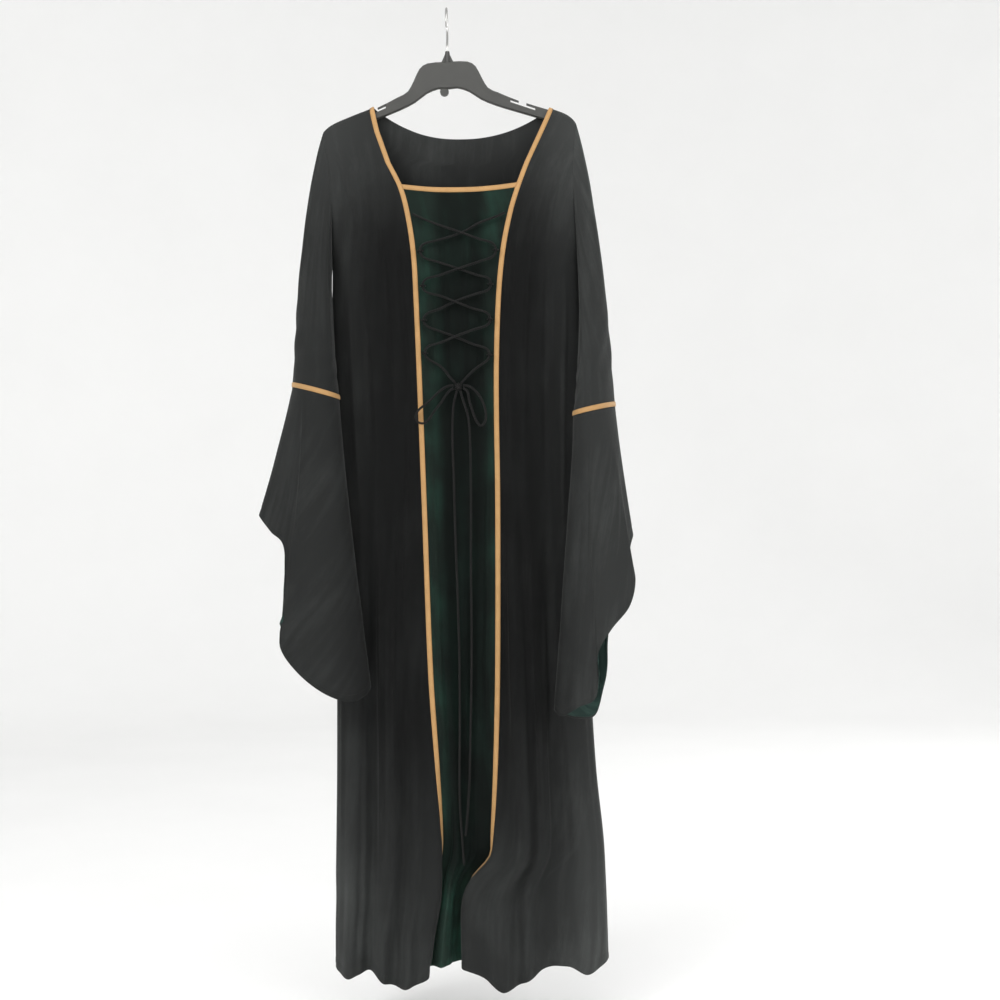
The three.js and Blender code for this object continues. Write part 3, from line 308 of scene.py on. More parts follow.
def back_top(x):
    """The back's top edge: its scooped neckline between the two shoulders."""
    x = np.asarray(x, float)
    middle = (NECK_LEFT + NECK_RIGHT) / 2
    t = np.clip(np.abs(2 * (x - middle) / (NECK_RIGHT - NECK_LEFT)), 0.0, 1.0)
    side = np.where(x < middle, NECK_LEFT, NECK_RIGHT)
    neck = mix(NECK_MIDDLE, shoulder_drop(side), t ** 2.3)
    return np.where(t >= 1.0, shoulder_drop(x), neck)


def edge_depth(drop):
    """How far the armhole's edge stands from the hook's plane. Below the underarm it lies in that plane."""
    t = np.clip((drop - ARM_END) / (UNDERARM - ARM_END), 0.0, 1.0)
    return 0.024 * np.sin(np.pi * t) ** 0.7


def stand_off(x, drop, deep):
    """How far the cloth stands from the hook's plane, apart from its long folds."""
    left, right = OUTLINE_AT["left_side"](drop), OUTLINE_AT["right_side"](drop)
    across = np.clip(np.abs((2 * x - left - right) / (right - left)), 0.0, 1.0)
    edge = edge_depth(drop)
    full = edge + (deep - edge) * (1.0 - across ** 2.4) ** 0.56
    below = np.maximum(0.0, drop - shoulder_drop(x))
    over = OVER_ARM * np.sqrt(1.0 - (1.0 - np.minimum(below, OVER_ARM) / OVER_ARM) ** 2)
    return over + smooth(below / 0.150) * (full - OVER_ARM)


def folded(folds, across, drop):
    """The long folds' height at places of a panel."""
    height = np.zeros(np.broadcast(across, drop).shape)
    for fold in folds:
        down = np.clip((drop - fold.starts) / (HEM_DROP - fold.starts), 0.0, 1.0)
        grown = smooth((drop - fold.starts) / (fold.full - fold.starts))
        if fold.ends:
            grown = grown * (1.0 - smooth((drop - fold.full) / (fold.ends - fold.full)))
        height = height + fold.rise * grown * bump((across - mix(fold.top, fold.hem, down)) / fold.half)
    return height


def creased(folds, across, drop):
    """The fine creases' height: each is a soft ridge or trough that fades at both of its ends."""
    height = np.zeros(np.broadcast(across, drop).shape)
    for crease in folds:
        down = (drop - crease.top) / (crease.end - crease.top)
        line = mix(crease.across_top, crease.across_end, np.clip(down, 0.0, 1.0))
        fade = smooth(down / 0.3) * smooth((1.0 - down) / (0.3 if crease.end < 1.59 else 0.05))
        height = height + crease.rise * fade * bump((across - line) / crease.half)
    return height


NOISE_CELLS = 64


def soft_noise(u, v, seed, around=NOISE_CELLS):
    """Smooth noise between -1 and 1 over a grid of cells, which repeats every so many cells along u."""
    lattice = np.random.default_rng(seed).uniform(-1.0, 1.0, (around, NOISE_CELLS))
    iu, iv = np.floor(u).astype(int), np.floor(v).astype(int)
    tu, tv = smooth(u - iu), smooth(v - iv)
    near, far = iu % around, (iu + 1) % around
    top, low = iv % NOISE_CELLS, (iv + 1) % NOISE_CELLS
    upper = mix(lattice[near, top], lattice[far, top], tu)
    lower = mix(lattice[near, low], lattice[far, low], tu)
    return mix(upper, lower, tv)


def front_side(side, across, drop):
    """A black front: "across" runs from the seam beside the green panel (0) to the side seam (1)."""
    out = -1.0 if side == "left" else 1.0
    seam, edge = OUTLINE_AT[side + "_seam"](drop), OUTLINE_AT[side + "_side"](drop)
    turned = np.clip(1.0 - across / 0.16, 0.0, 1.0) ** 2
    x = mix(seam, edge, across)
    fade = smooth((1.0 - across) / 0.1)
    rise = folded(LEFT_FOLDS if side == "left" else RIGHT_FOLDS, across, drop) * fade
    y = -stand_off(x, drop, DEPTH_AT["front"](drop)) - rise + DEPTH_AT[side + "_turn"](drop) * turned
    over = DEPTH_AT[side + "_over"](drop) * bump((across - FOLD_OVER) / FOLD_OVER)
    return place(x + out * (DEPTH_AT[side + "_under"](drop) * turned - over), np.minimum(y, 0.0), drop)


def front_centre(across, drop):
    """The green panel, from the left seam (0) to the right one (1)."""
    left, right = (front_side(side, np.zeros_like(drop), drop) for side in SIDES)
    points = mix(left, right, np.asarray(across)[..., None])
    points[..., 1] -= folded(CENTRE_FOLDS, across, drop) * inside(across, 0.12)
    return points


def back(across, drop):
    """The back, from the left side (0) to the right side (1) as seen from the front."""
    x = mix(OUTLINE_AT["left_side"](drop), OUTLINE_AT["right_side"](drop), across)
    y = stand_off(x, drop, DEPTH_AT["back"](drop)) + folded(BACK_FOLDS, across, drop) * inside(across, 0.06)
    return place(x, np.maximum(y, 0.0), drop)


def band_ring(side, turn):
    """The oval at the end of an upper sleeve, from its left end by way of the front."""
    ring = BAND_RING[side]
    c = np.cos(turn)
    return place(
        ring.x - ring.half_x * c,
        ring.y - ring.slant_y * c - ring.half_y * np.sin(turn),
        ring.drop - ring.fall_x * c,
    )


def armhole(side, turn):
    """The armhole: the same edge that the front and the back end on."""
    c = np.cos(turn) if side == "left" else -np.cos(turn)
    top = shoulder_drop(OUTLINE_AT[side + "_side"](ARM_END))
    drop = mix(top, UNDERARM, 0.5 - 0.5 * c)
    ahead = front_side(side, np.ones_like(drop), drop)
    behind = back(np.full_like(drop, 0.0 if side == "left" else 1.0), drop)
    return np.where((np.sin(turn) >= 0.0)[..., None], ahead, behind)


def sleeve(side, turn, down):
    """An upper sleeve, from its armhole (0) to its band (1)."""
    out = -1.0 if side == "left" else 1.0
    start, end = armhole(side, turn), band_ring(side, turn)
    outer = np.cos(turn) * (1.0 if side == "left" else -1.0)
    inner = np.maximum(0.0, -outer)
    swell = np.maximum(0.0, outer) * 0.012 * np.sin(np.pi * down ** 0.8)
    x = mix(start[..., 0], end[..., 0], mix(down, down ** 2, inner)) + out * swell
    y = mix(start[..., 1], end[..., 1], down ** mix(1.0, 0.72, inner))
    z = mix(start[..., 2], end[..., 2], down)
    beside = OUTLINE_AT[side + "_side"](-z) + out * SLEEVE_GAP * smooth(down / 0.12)
    clear = out * np.maximum(out * x, out * beside)
    return np.stack([mix(x, clear, smooth((y + 0.020) / 0.010)), y, z], axis=-1)


def bell(side, turn, down):
    """A bell cuff, from the band (0) to its hem (1), at an angle in degrees."""
    hem = BELL_HEM[side]
    hem = [hem[-1]._replace(turn=hem[-1].turn - 360), *hem, hem[0]._replace(turn=360)]
    hem.append(hem[2]._replace(turn=hem[2].turn + 360))
    start = band_ring(side, np.radians(turn)) - (0.0, 0.0, BELL_TUCK)
    end = place(*[column(hem, "turn", name)(turn) for name in ("x", "y", "drop")])
    return mix(start, end, np.stack([down ** 1.18, down ** 0.9, down], axis=-1))


def facings(grid, closed=False):
    """The directions that a grid's outer face looks in. Rows go down, columns left to right from outside."""
    down = np.gradient(grid, axis=0)
    if closed:
        across = (np.roll(grid, -1, axis=1) - np.roll(grid, 1, axis=1)) / 2
    else:
        across = np.gradient(grid, axis=1)
    facing = np.cross(down, across)
    return unit(facing)


def unit(vectors):
    return vectors / np.maximum(np.linalg.norm(vectors, axis=-1, keepdims=True), 1e-12)


def without(vectors, axis):
    """Turns directions into the plane across one axis."""
    flat = vectors.copy()
    flat[..., axis] = 0.0
    return unit(flat)


class Cloth:
    """A panel or tube of cloth: its outer face as a grid of points, with facings and a UV in metres."""

    def __init__(self, grid, closed=False, facing=None):
        self.grid, self.closed = grid, closed
        self.facing = facings(grid, closed) if facing is None else facing
        self.measure()

    def measure(self):
        grid = np.concatenate([self.grid, self.grid[:, :1]], axis=1) if self.closed else self.grid
        wide = np.linalg.norm(np.diff(grid, axis=1), axis=-1).cumsum(axis=1)
        high = np.linalg.norm(np.diff(grid, axis=0), axis=-1).cumsum(axis=0)
        self.u = np.concatenate([np.zeros((len(grid), 1)), wide], axis=1)
        self.v = np.concatenate([np.zeros((1, grid.shape[1])), high], axis=0)

    def raise_by(self, height):
        """Moves the points along their facings, and works the facings out again inside the edges."""
        kept = self.facing
        self.grid = self.grid + self.facing * height[..., None]
        self.facing = facings(self.grid, self.closed)
        self.facing[0], self.facing[-1] = kept[0], kept[-1]
        if not self.closed:
            self.facing[:, 0], self.facing[:, -1] = kept[:, 0], kept[:, -1]
        self.measure()

    def patch(self, rows, columns):
        """A smaller piece of this cloth, such as the strip under a trim."""
        closed = self.closed and columns == slice(None)
        return Cloth(self.grid[rows, columns], closed, self.facing[rows, columns])


def new_object(name, vertices, faces, uvs, material):
    """A smooth object at the origin with one material, and a UV map given corner by corner."""
    mesh = bpy.data.meshes.new(name)
    mesh.from_pydata(np.asarray(vertices).tolist(), [], faces)
    layer = mesh.uv_layers.new(name="cloth")
    layer.data.foreach_set("uv", np.asarray(uvs, dtype=np.float32).ravel())
    mesh.materials.append(material)
    mesh.polygons.foreach_set("use_smooth", [True] * len(mesh.polygons))
    mesh.update()
    made = bpy.data.objects.new(name, mesh)
    bpy.context.scene.collection.objects.link(made)
    return made


def shell_object(name, cloth, outer, inner, material):
    """A closed shell between two faces of a cloth, with a third line of points that rounds its edges."""
    rows, columns = outer.shape[:2]
    points = np.arange(rows * columns).reshape(rows, columns)
    rim = np.full((rows, columns), -1)
    on_edge = np.zeros((rows, columns), bool)
    on_edge[[0, -1], :] = True
    if not cloth.closed:
        on_edge[:, [0, -1]] = True
    rim[on_edge] = 2 * rows * columns + np.arange(on_edge.sum())
    push = np.zeros(outer.shape)
    down = unit(np.gradient(cloth.grid, axis=0))
    push[0] -= down[0]
    push[-1] += down[-1]
    if not cloth.closed:
        along = unit(np.gradient(cloth.grid, axis=1))
        push[:, 0] -= along[:, 0]
        push[:, -1] += along[:, -1]
    thick = np.linalg.norm(outer - inner, axis=-1, keepdims=True)
    rounded = (outer + inner) / 2 + unit(push) * thick * 0.3
    vertices = np.concatenate([outer.reshape(-1, 3), inner.reshape(-1, 3), rounded[on_edge]])
    if cloth.closed:
        points = np.concatenate([points, points[:, :1]], axis=1)
        rim = np.concatenate([rim, rim[:, :1]], axis=1)
    uv = np.stack([cloth.u, cloth.v], axis=-1)
    inside = points + rows * columns
    faces, corners = [], []

    def strip(a, b, ua, ub, turned):
        """A row of quads between two lines of points, each an array of indices, with their UVs."""
        quads = np.stack([a[:-1], b[:-1], b[1:], a[1:]], axis=1)
        places = np.stack([ua[:-1], ub[:-1], ub[1:], ua[1:]], axis=1)
        faces.append(quads[:, ::-1] if turned else quads)
        corners.append(places[:, ::-1] if turned else places)

    for i in range(rows - 1):
        strip(points[i], points[i + 1], uv[i], uv[i + 1], False)
        strip(inside[i], inside[i + 1], uv[i], uv[i + 1], True)
    edges = [(np.s_[0], True), (np.s_[-1], False)]
    if not cloth.closed:
        edges += [(np.s_[:, 0], False), (np.s_[:, -1], True)]
    for at, turned in edges:
        strip(points[at], rim[at], uv[at], uv[at], turned)
        strip(rim[at], inside[at], uv[at], uv[at], turned)
    quads = np.concatenate(faces)
    return new_object(name, vertices, quads.tolist(), np.concatenate(corners), material)


def cloth_object(name, cloth, thick, material):
    """A closed shell of cloth whose wall goes inwards from its outer face, with rounded edges."""
    return shell_object(name, cloth, cloth.grid, cloth.grid - cloth.facing * thick, material)


def laid_on(name, cloth, thick, profile, material):
    """A strip that lies on a cloth, with its height given across or along it as a share of its thickness."""
    outer = cloth.grid + cloth.facing * (TRIM_LAY + thick * profile)[..., None]
    inner = cloth.grid + cloth.facing * TRIM_LAY
    return shell_object(name, cloth, outer, inner, material)


# Rows and columns of the panels, and the seeds of their unevenness
FRONT_COLUMNS = 60
CENTRE_COLUMNS = 46
BACK_COLUMNS = 97
SLEEVE_COLUMNS = 96
BELL_COLUMNS = 144
SEEDS = {
    "left": 11, "right": 12, "centre": 21, "back": 31, "left_sleeve": 41, "right_sleeve": 43,
    "left_bell": 51, "right_bell": 53,
}
SHOULDER_ROWS = [0.0, 0.0004, 0.001, 0.002, 0.0035, 0.0055, 0.008, 0.012, 0.02, 0.03, 0.042]
STATIONS = np.concatenate(
    [[0.262, 0.281], np.linspace(NECK_FRONT, NECK_FRONT + TRIM_WIDTH, 5), np.linspace(0.320, 1.560, 106)]
)
HEM_SHARES = [0.14, 0.28, 0.42, 0.56, 0.68, 0.78, 0.86, 0.92, 0.96, 1.0]
CENTRE_FROM = len(SHOULDER_ROWS) + 2
TRIM_COLUMNS = 5
SLEEVE_ROWS = 52
BELL_ROWS = 50
BELL_LAST_ROWS = [0.95, 0.965, 0.98, 0.99, 1.0]
# Two columns on each side of the back's neckline keep its corners sharp.
NECK_COLUMNS = [0.2008, 0.206, 0.8925, 0.887]
BACK_HEM = 1.628
BACK_HEM_RISE = 0.012
CENTRE_HEM_RISE = 0.008


def row_drops(top, hem):
    """Drops down a column, as one row for each column of the result."""
    top, hem = np.atleast_1d(top), np.atleast_1d(hem)
    shoulder = top[None, :] + np.array(SHOULDER_ROWS)[:, None]
    middle = np.repeat(STATIONS[:, None], len(top), axis=1)
    low = mix(STATIONS[-1], hem[None, :], np.array(HEM_SHARES)[:, None])
    return np.concatenate([shoulder, middle, low])


def top_drop(edge, x_at):
    """The drop of each column's top, where the column, whose X depends on the drop, meets the top edge."""
    drop = edge(x_at(0.180))
    for _ in range(12):
        drop = edge(x_at(drop))
    return drop


def hem_ridge(cloth, hem_drops):
    """The turned-up hem: a trough along its stitch line and a slight swell below it."""
    up = hem_drops + cloth.grid[..., 2]
    return 0.0004 * smooth((0.012 - up) / 0.004) - 0.0007 * peak((up - HEM_LINE) / 0.0022)


def nap_relief(cloth, seed, height, around=None):
    """Soft unevenness of hanging velvet: long shallow waves and smaller ones across them."""
    columns = cloth.grid.shape[1]
    u, v = cloth.u[:, :columns], cloth.v[:, :columns]
    if around:
        u = np.broadcast_to(np.arange(columns) / columns, v.shape)
        broad = soft_noise(u * around, v / 0.22, seed, around)
        small = soft_noise(u * around * 2, v / 0.05, seed + 1, around * 2)
    else:
        broad = soft_noise(u / 0.045, v / 0.26, seed)
        small = soft_noise(u / 0.022, v / 0.06, seed + 1)
    return height * (broad + 0.35 * small)


def front_cloth(side, rise):
    """A black front as cloth. Its seam is the last column on the left, and the first on the right."""
    turned = side == "left"
    seam_at, side_at = OUTLINE_AT[side + "_seam"], OUTLINE_AT[side + "_side"]

    def drops_at(first, last):
        top = top_drop(shoulder_drop, lambda drop: mix(seam_at(drop), side_at(drop), first))
        return row_drops(top, front_hem(mix(seam_at(HEM_DROP), side_at(HEM_DROP), last)))

    trimmed = trim_share(side, drops_at(np.zeros(1), np.zeros(1))[:, 0])[:, None]
    beyond = np.linspace(0.0, 1.0, FRONT_COLUMNS)[1:]
    strip = np.linspace(0.0, 1.0, TRIM_COLUMNS)
    across = np.concatenate([trimmed * strip, mix(trimmed, 1.0, beyond[None, :])], axis=1)
    drops = drops_at(across[0], across[-1])
    cloth = Cloth(flipped(front_side(side, across, drops), turned))
    cloth.facing[0] = without(cloth.facing[0], 1)
    face_side(cloth, 0 if turned else -1, -1.0 if turned else 1.0)
    within = smooth((1.0 - across) / 0.05) * smooth((across - trimmed) / 0.06)
    below = smooth((drops - drops[0] - 0.02) / 0.06)
    relief = creased(FRONT_CREASES[side], across, drops) * rise * within
    worn = nap_relief(cloth, SEEDS[side], 0.0009) * flipped(within * below, turned)
    hems = flipped(np.broadcast_to(drops[-1], drops.shape), turned)
    cloth.raise_by(flipped(relief, turned) + worn + hem_ridge(cloth, hems) * flipped(within, turned))
    return cloth


def flipped(grid, turned):
    return grid[:, ::-1] if turned else grid


def trim_share(side, drops):
    """How far across a black front the trim's outer edge lies, row by row."""
    shares = np.linspace(0.0, 0.4, 161)
    points = front_side(side, shares[None, :], drops[:, None] + 0 * shares[None, :])
    along = np.linalg.norm(np.diff(points, axis=1), axis=-1).cumsum(axis=1)
    return np.array([np.interp(TRIM_WIDTH, row, shares[1:]) for row in along])


def face_side(cloth, at_column, outward):
    """A side edge: in the armhole its wall goes straight in, and below it lies in the side seam."""
    armhole_rows = -cloth.grid[:, at_column, 2] < UNDERARM
    cloth.facing[armhole_rows, at_column] = without(cloth.facing[armhole_rows, at_column], 0)
    cloth.facing[~armhole_rows, at_column] = (outward, 0.0, 0.0)


def centre_cloth(rise):
    """The green panel, in the same rows as the fronts."""
    across = np.linspace(0.0, 1.0, CENTRE_COLUMNS)[None, :]
    hem = front_hem(mix(*[OUTLINE_AT[side + "_seam"](HEM_DROP) for side in SIDES], across[0]))
    hem = hem - CENTRE_HEM_RISE * across[0] * (1.0 - across[0])
    drops = row_drops(np.full(across.shape[1], 0.2), hem)[CENTRE_FROM:]
    across = np.broadcast_to(across, drops.shape)
    drops = drops + 4 * NECK_DIP * across * (1.0 - across) * smooth((0.365 - drops) / 0.055)
    cloth = Cloth(front_centre(across, drops))
    relief = creased(CENTRE_CREASES, across, drops) * rise + nap_relief(cloth, SEEDS["centre"], 0.0008)
    cloth.raise_by((relief + hem_ridge(cloth, np.broadcast_to(hem, drops.shape))) * inside(across, 0.08))
    return cloth


def sew(cloth, at_column, onto):
    """Gives the green panel's edge and the black front's one shared place and facing, row by row."""
    seam = -1 if at_column == 0 else 0
    shared = unit(cloth.facing[:, at_column] + onto.facing[CENTRE_FROM:, seam])
    cloth.grid[:, at_column] = onto.grid[CENTRE_FROM:, seam]
    cloth.facing[:, at_column] = shared
    onto.facing[CENTRE_FROM:, seam] = shared


def back_cloth(rise):
    """The back as cloth, its columns from the right side to the left one, as seen from outside."""
    shares = np.linspace(0.0, 1.0, BACK_COLUMNS)
    shares = np.sort(np.concatenate([shares, NECK_COLUMNS]))

    def x_at(drop):
        return mix(OUTLINE_AT["left_side"](drop), OUTLINE_AT["right_side"](drop), shares)

    hem = BACK_HEM - BACK_HEM_RISE * np.abs(2 * shares - 1) ** 3
    tops = top_drop(back_top, x_at)
    drops = row_drops(tops, hem)
    across = np.broadcast_to(shares, drops.shape)
    cloth = Cloth(flipped(back(across, drops), True))
    over_arm = (cloth.grid[0, :, 0] < NECK_LEFT) | (cloth.grid[0, :, 0] > NECK_RIGHT)
    cloth.facing[0, over_arm] = without(cloth.facing[0, over_arm], 1)
    face_side(cloth, 0, 1.0)
    face_side(cloth, -1, -1.0)
    edges = inside(across, 0.04) * smooth((drops - tops - 0.02) / 0.06)
    relief = creased(BACK_CREASES, across, drops) * rise
    relief = flipped(relief * edges, True) + nap_relief(cloth, SEEDS["back"], 0.0010) * flipped(edges, True)
    cloth.raise_by(relief + hem_ridge(cloth, flipped(np.broadcast_to(hem, drops.shape), True)))
    return cloth


def sleeve_cloth(side, rise):
    """An upper sleeve as a tube of cloth, from the armhole to its gold band."""
    turns = np.linspace(0.0, 2 * np.pi, SLEEVE_COLUMNS, endpoint=False)[None, :]
    length = np.linalg.norm(armhole(side, turns) - band_ring(side, turns), axis=-1)
    above = np.linspace(0.0, 1.0, SLEEVE_ROWS)[:-1, None] * (1.0 - TRIM_WIDTH / length)
    in_band = 1.0 - TRIM_WIDTH * np.linspace(1.0, 0.0, TRIM_COLUMNS)[:, None] / length
    down = np.concatenate([above, in_band])
    turn = np.broadcast_to(turns, down.shape)
    cloth = Cloth(sleeve(side, turn, down), closed=True)
    cloth.facing[0] = without(cloth.facing[0], 0)
    up = (1.0 - down) * length - TRIM_WIDTH
    fade = smooth(down / 0.1) * smooth(up / 0.02)
    wrinkle = np.sin(5.0 * turn + 46.0 * down) * peak((down - 0.80) / 0.14)
    relief = 0.0010 * wrinkle * rise + nap_relief(cloth, SEEDS[side + "_sleeve"], 0.0013, around=9)
    cloth.raise_by(relief * fade)
    cloth.facing[-1] = without(cloth.facing[-1], 2)
    return cloth


# The upright ridge on each bell: its turn at the band and at the hem, in degrees.
Ridge = namedtuple("Ridge", "top hem half rise")
BELL_RIDGE = {"left": Ridge(68, 104, 4.5, 0.0024), "right": Ridge(76, 50, 4.5, 0.0024)}


def bell_cloth(side, rise):
    """A bell cuff as a tube of cloth, with soft flutes that grow towards its hem."""
    turns = np.linspace(0.0, 360.0, BELL_COLUMNS, endpoint=False)
    downs = np.concatenate([np.linspace(0.0, BELL_LAST_ROWS[0], BELL_ROWS)[:-1], BELL_LAST_ROWS])
    turn, down = np.meshgrid(turns, downs)
    cloth = Cloth(bell(side, turn, down), closed=True)
    cloth.facing[0] = without(cloth.facing[0], 2)
    angle = np.radians(turn)
    flutes = np.sin(5 * angle + 0.8) * 0.6 + np.sin(8 * angle + 2.0 * down) * 0.4
    relief = 0.0014 * flutes * smooth(down / 0.5) * rise
    relief = relief + nap_relief(cloth, SEEDS[side + "_bell"], 0.0009, around=11) * smooth(down / 0.1)
    pressed = BELL_RIDGE[side]
    off = (turn - mix(pressed.top, pressed.hem, down)) / pressed.half
    relief = relief + pressed.rise * peak(off) * smooth(down / 0.15) * rise
    up = cloth.v[-1:, :-1] - cloth.v[:, :-1]
    cloth.raise_by(relief - 0.0006 * peak((up - BELL_HEM_LINE) / 0.002))
    return cloth


def lining_cloth(outer):
    """The green lining of a bell: the bell's inner face, a little in from it and short of its hem."""
    facing = outer.facing[LINING_FROM:].copy()
    grid = outer.grid[LINING_FROM:] - facing * (VELVET + LINING_GAP)
    grid[-1] = mix(grid[-1], grid[-2], 0.6)
    return Cloth(grid, True, facing)


def along_path(path):
    """How far along a path each of its points lies."""
    return np.concatenate([[0.0], np.linalg.norm(np.diff(path, axis=0), axis=1).cumsum()])


def spline(route, spacing):
    """Points at even steps along a smooth curve through a route's points."""
    points = np.array([(x, y, -drop) for x, y, drop in route])
    padded = np.concatenate([[2 * points[0] - points[1]], points, [2 * points[-1] - points[-2]]])
    fine = []
    for k in range(1, len(padded) - 2):
        p0, p1, p2, p3 = padded[k - 1 : k + 3]
        t0, t1 = 0.0, np.linalg.norm(p1 - p0) ** 0.5
        t2 = t1 + np.linalg.norm(p2 - p1) ** 0.5
        t3 = t2 + np.linalg.norm(p3 - p2) ** 0.5
        for t in np.linspace(t1, t2, 12, endpoint=False):
            a1 = mix(p0, p1, (t - t0) / (t1 - t0))
            a2 = mix(p1, p2, (t - t1) / (t2 - t1))
            a3 = mix(p2, p3, (t - t2) / (t3 - t2))
            b1, b2 = mix(a1, a2, (t - t0) / (t2 - t0)), mix(a2, a3, (t - t1) / (t3 - t1))
            fine.append(mix(b1, b2, (t - t1) / (t2 - t1)))
    fine = np.array([*fine, points[-1]])
    along = along_path(fine)
    steps = max(4, int(round(along[-1] / spacing)))
    even = np.linspace(0.0, along[-1], steps + 1)
    return np.stack([np.interp(even, along, fine[:, axis]) for axis in range(3)], axis=1)


def tube(path, radii, sides, ring=False):
    """A round tube along a path: its points, faces and UVs, which give the share round and metres along.

    Its ends are closed, or joined to each other where the path is a ring.
    """
    count = len(path)
    if ring:
        tangents = unit(np.roll(path, -1, axis=0) - np.roll(path, 1, axis=0))
    else:
        tangents = unit(np.gradient(path, axis=0))
    along = along_path(path)
    across = unit(np.cross(tangents[0], (0.3, 1.0, 0.2)))
    vertices = []
    angles = 2 * np.pi * np.arange(sides) / sides
    for centre, tangent, radius in zip(path, tangents, radii):
        across = unit(across - tangent * np.dot(across, tangent))
        other = np.cross(tangent, across)
        round_it = np.outer(np.cos(angles), across) + np.outer(np.sin(angles), other)
        vertices.append(centre + radius * round_it)
    faces, corners = [], []
    shares = np.arange(sides + 1) / sides
    for k in range(count if ring else count - 1):
        n = (k + 1) % count
        low, high = along[k], along[k] + np.linalg.norm(path[n] - path[k])
        for s in range(sides):
            t = (s + 1) % sides
            faces.append((k * sides + s, k * sides + t, n * sides + t, n * sides + s))
            corners += [(shares[s + at], v) for at, v in ((0, low), (1, low), (1, high), (0, high))]
    if not ring:
        first = range(sides - 1, -1, -1)
        faces += [tuple(first), tuple(range((count - 1) * sides, count * sides))]
        corners += [(shares[s], 0.0) for s in first] + [(share, along[-1]) for share in shares[:-1]]
    return np.concatenate(vertices), faces, corners


def joined(parts):
    """Several sets of points, faces and UVs as one."""
    vertices, faces, corners = [], [], []
    start = 0
    for points, sides, places in parts:
        vertices.append(points)
        faces += [tuple(v + start for v in face) for face in sides]
        corners += list(places)
        start += len(points)
    return np.concatenate(vertices), faces, corners


def tube_object(name, path, radii, sides, material):
    return new_object(name, *tube(path, radii, sides), material)


def rounded_ends(path, radius):
    """A radius at each point of a path, drawn in at both ends."""
    along = along_path(path)
    near = np.minimum(along, along[-1] - along) / radius
    return radius * np.sqrt(np.clip(1.0 - (1.0 - np.clip(near, 0.0, 1.0)) ** 2, 0.16, 1.0))


def loop_path(spot):
    """The route of a small loop that stands round the lace, its two feet on the green panel."""
    round_lace = LACE_WIDE / 2 + LOOP_WIDE / 2 + LOOP_SLACK
    foot = front_centre_y(spot.x, spot.drop)
    route = [(spot.x - round_lace, foot, spot.drop)]
    for angle in np.radians(np.linspace(180.0, 360.0, 9)):
        route.append((spot.x + round_lace * np.cos(angle), spot.y + round_lace * np.sin(angle), spot.drop))
    route.append((spot.x + round_lace, foot, spot.drop))
    return spline(route, LOOP_STEP)


def front_centre_y(x, drop):
    """The green panel's outer face at an X and a drop."""
    drop = np.array([drop])
    left, right = (front_side(side, np.zeros(1), drop)[0, 0] for side in SIDES)
    return front_centre(np.clip((x - left) / (right - left), 0.0, 1.0) * np.ones(1), drop)[0, 1]


def knot_parts():
    """The tied knot: a small core with the lace wrapped over it three ways."""
    middle = np.array([KNOT["x"], KNOT["y"], -KNOT["drop"]])
    half = np.array([KNOT["half_x"], KNOT["half_y"], KNOT["half_z"]])
    parts = [ball(middle, half * 0.80, 20, 12)]
    turns = np.linspace(0.0, 2 * np.pi, 40, endpoint=False)
    for lean in (-38.0, 34.0, 84.0):
        a = math.radians(lean)
        reach = np.hypot(half[0] * math.cos(a), half[2] * math.sin(a)) - KNOT_LACE
        out = np.outer(np.cos(turns), np.array([math.cos(a), 0.0, math.sin(a)])) * reach
        front = np.outer(np.sin(turns), np.array([0.0, 1.0, 0.0])) * (half[1] - KNOT_LACE)
        parts.append(tube(middle + out + front, np.full(len(turns), KNOT_LACE), 8, ring=True))
    return joined(parts)


def ball(middle, half, around, down):
    """A closed ellipsoid with its points, faces and UVs."""
    lat = np.repeat(np.pi * np.arange(1, down) / down, around)
    lon = np.tile(2 * np.pi * np.arange(around) / around, down - 1)
    rings = np.stack([np.sin(lat) * np.cos(lon), np.sin(lat) * np.sin(lon), np.cos(lat)], axis=1)
    vertices = middle + half * np.concatenate([[(0.0, 0.0, 1.0)], rings, [(0.0, 0.0, -1.0)]])
    last, low = len(vertices) - 1, 1 + (down - 2) * around
    faces, corners = [], []
    for j in range(around):
        n, left, right = (j + 1) % around, j / around, (j + 1) / around
        faces += [(0, 1 + j, 1 + n), (last, low + n, low + j)]
        corners += [(0.5, 0.0), (left, 0.01), (right, 0.01), (0.5, 0.02), (right, 0.01), (left, 0.01)]
        for i in range(down - 2):
            a, b = 1 + i * around, 1 + (i + 1) * around
            faces.append((a + j, b + j, b + n, a + n))
            high, deep = (i + 1) * 0.001, (i + 2) * 0.001
            corners += [(left, high), (left, deep), (right, deep), (right, high)]
    return vertices, faces, corners


HOOK_RADIUS = 0.002
HOOK_MIDDLE = 0.025
HOOK_INSIDE = 0.023
HOOK_FOOT = 0.0836


def hook_path():
    """The wire's middle line: its crook lies front to back, and its stem goes down into the hanger."""
    route = []
    for angle in np.radians(np.linspace(-120.0, 128.0, 10)):
        route.append((0.0, HOOK_MIDDLE * math.sin(angle), HOOK_INSIDE - HOOK_MIDDLE * math.cos(angle)))
    route += [(0.0, 0.011, 0.048), (0.0, 0.0034, 0.055), (0.0, 0.0002, 0.062), (0.0, 0.0, 0.069)]
    route += [(0.0, 0.0, 0.076), (0.0, 0.0, HOOK_FOOT)]
    return spline(route, HOOK_STEP)


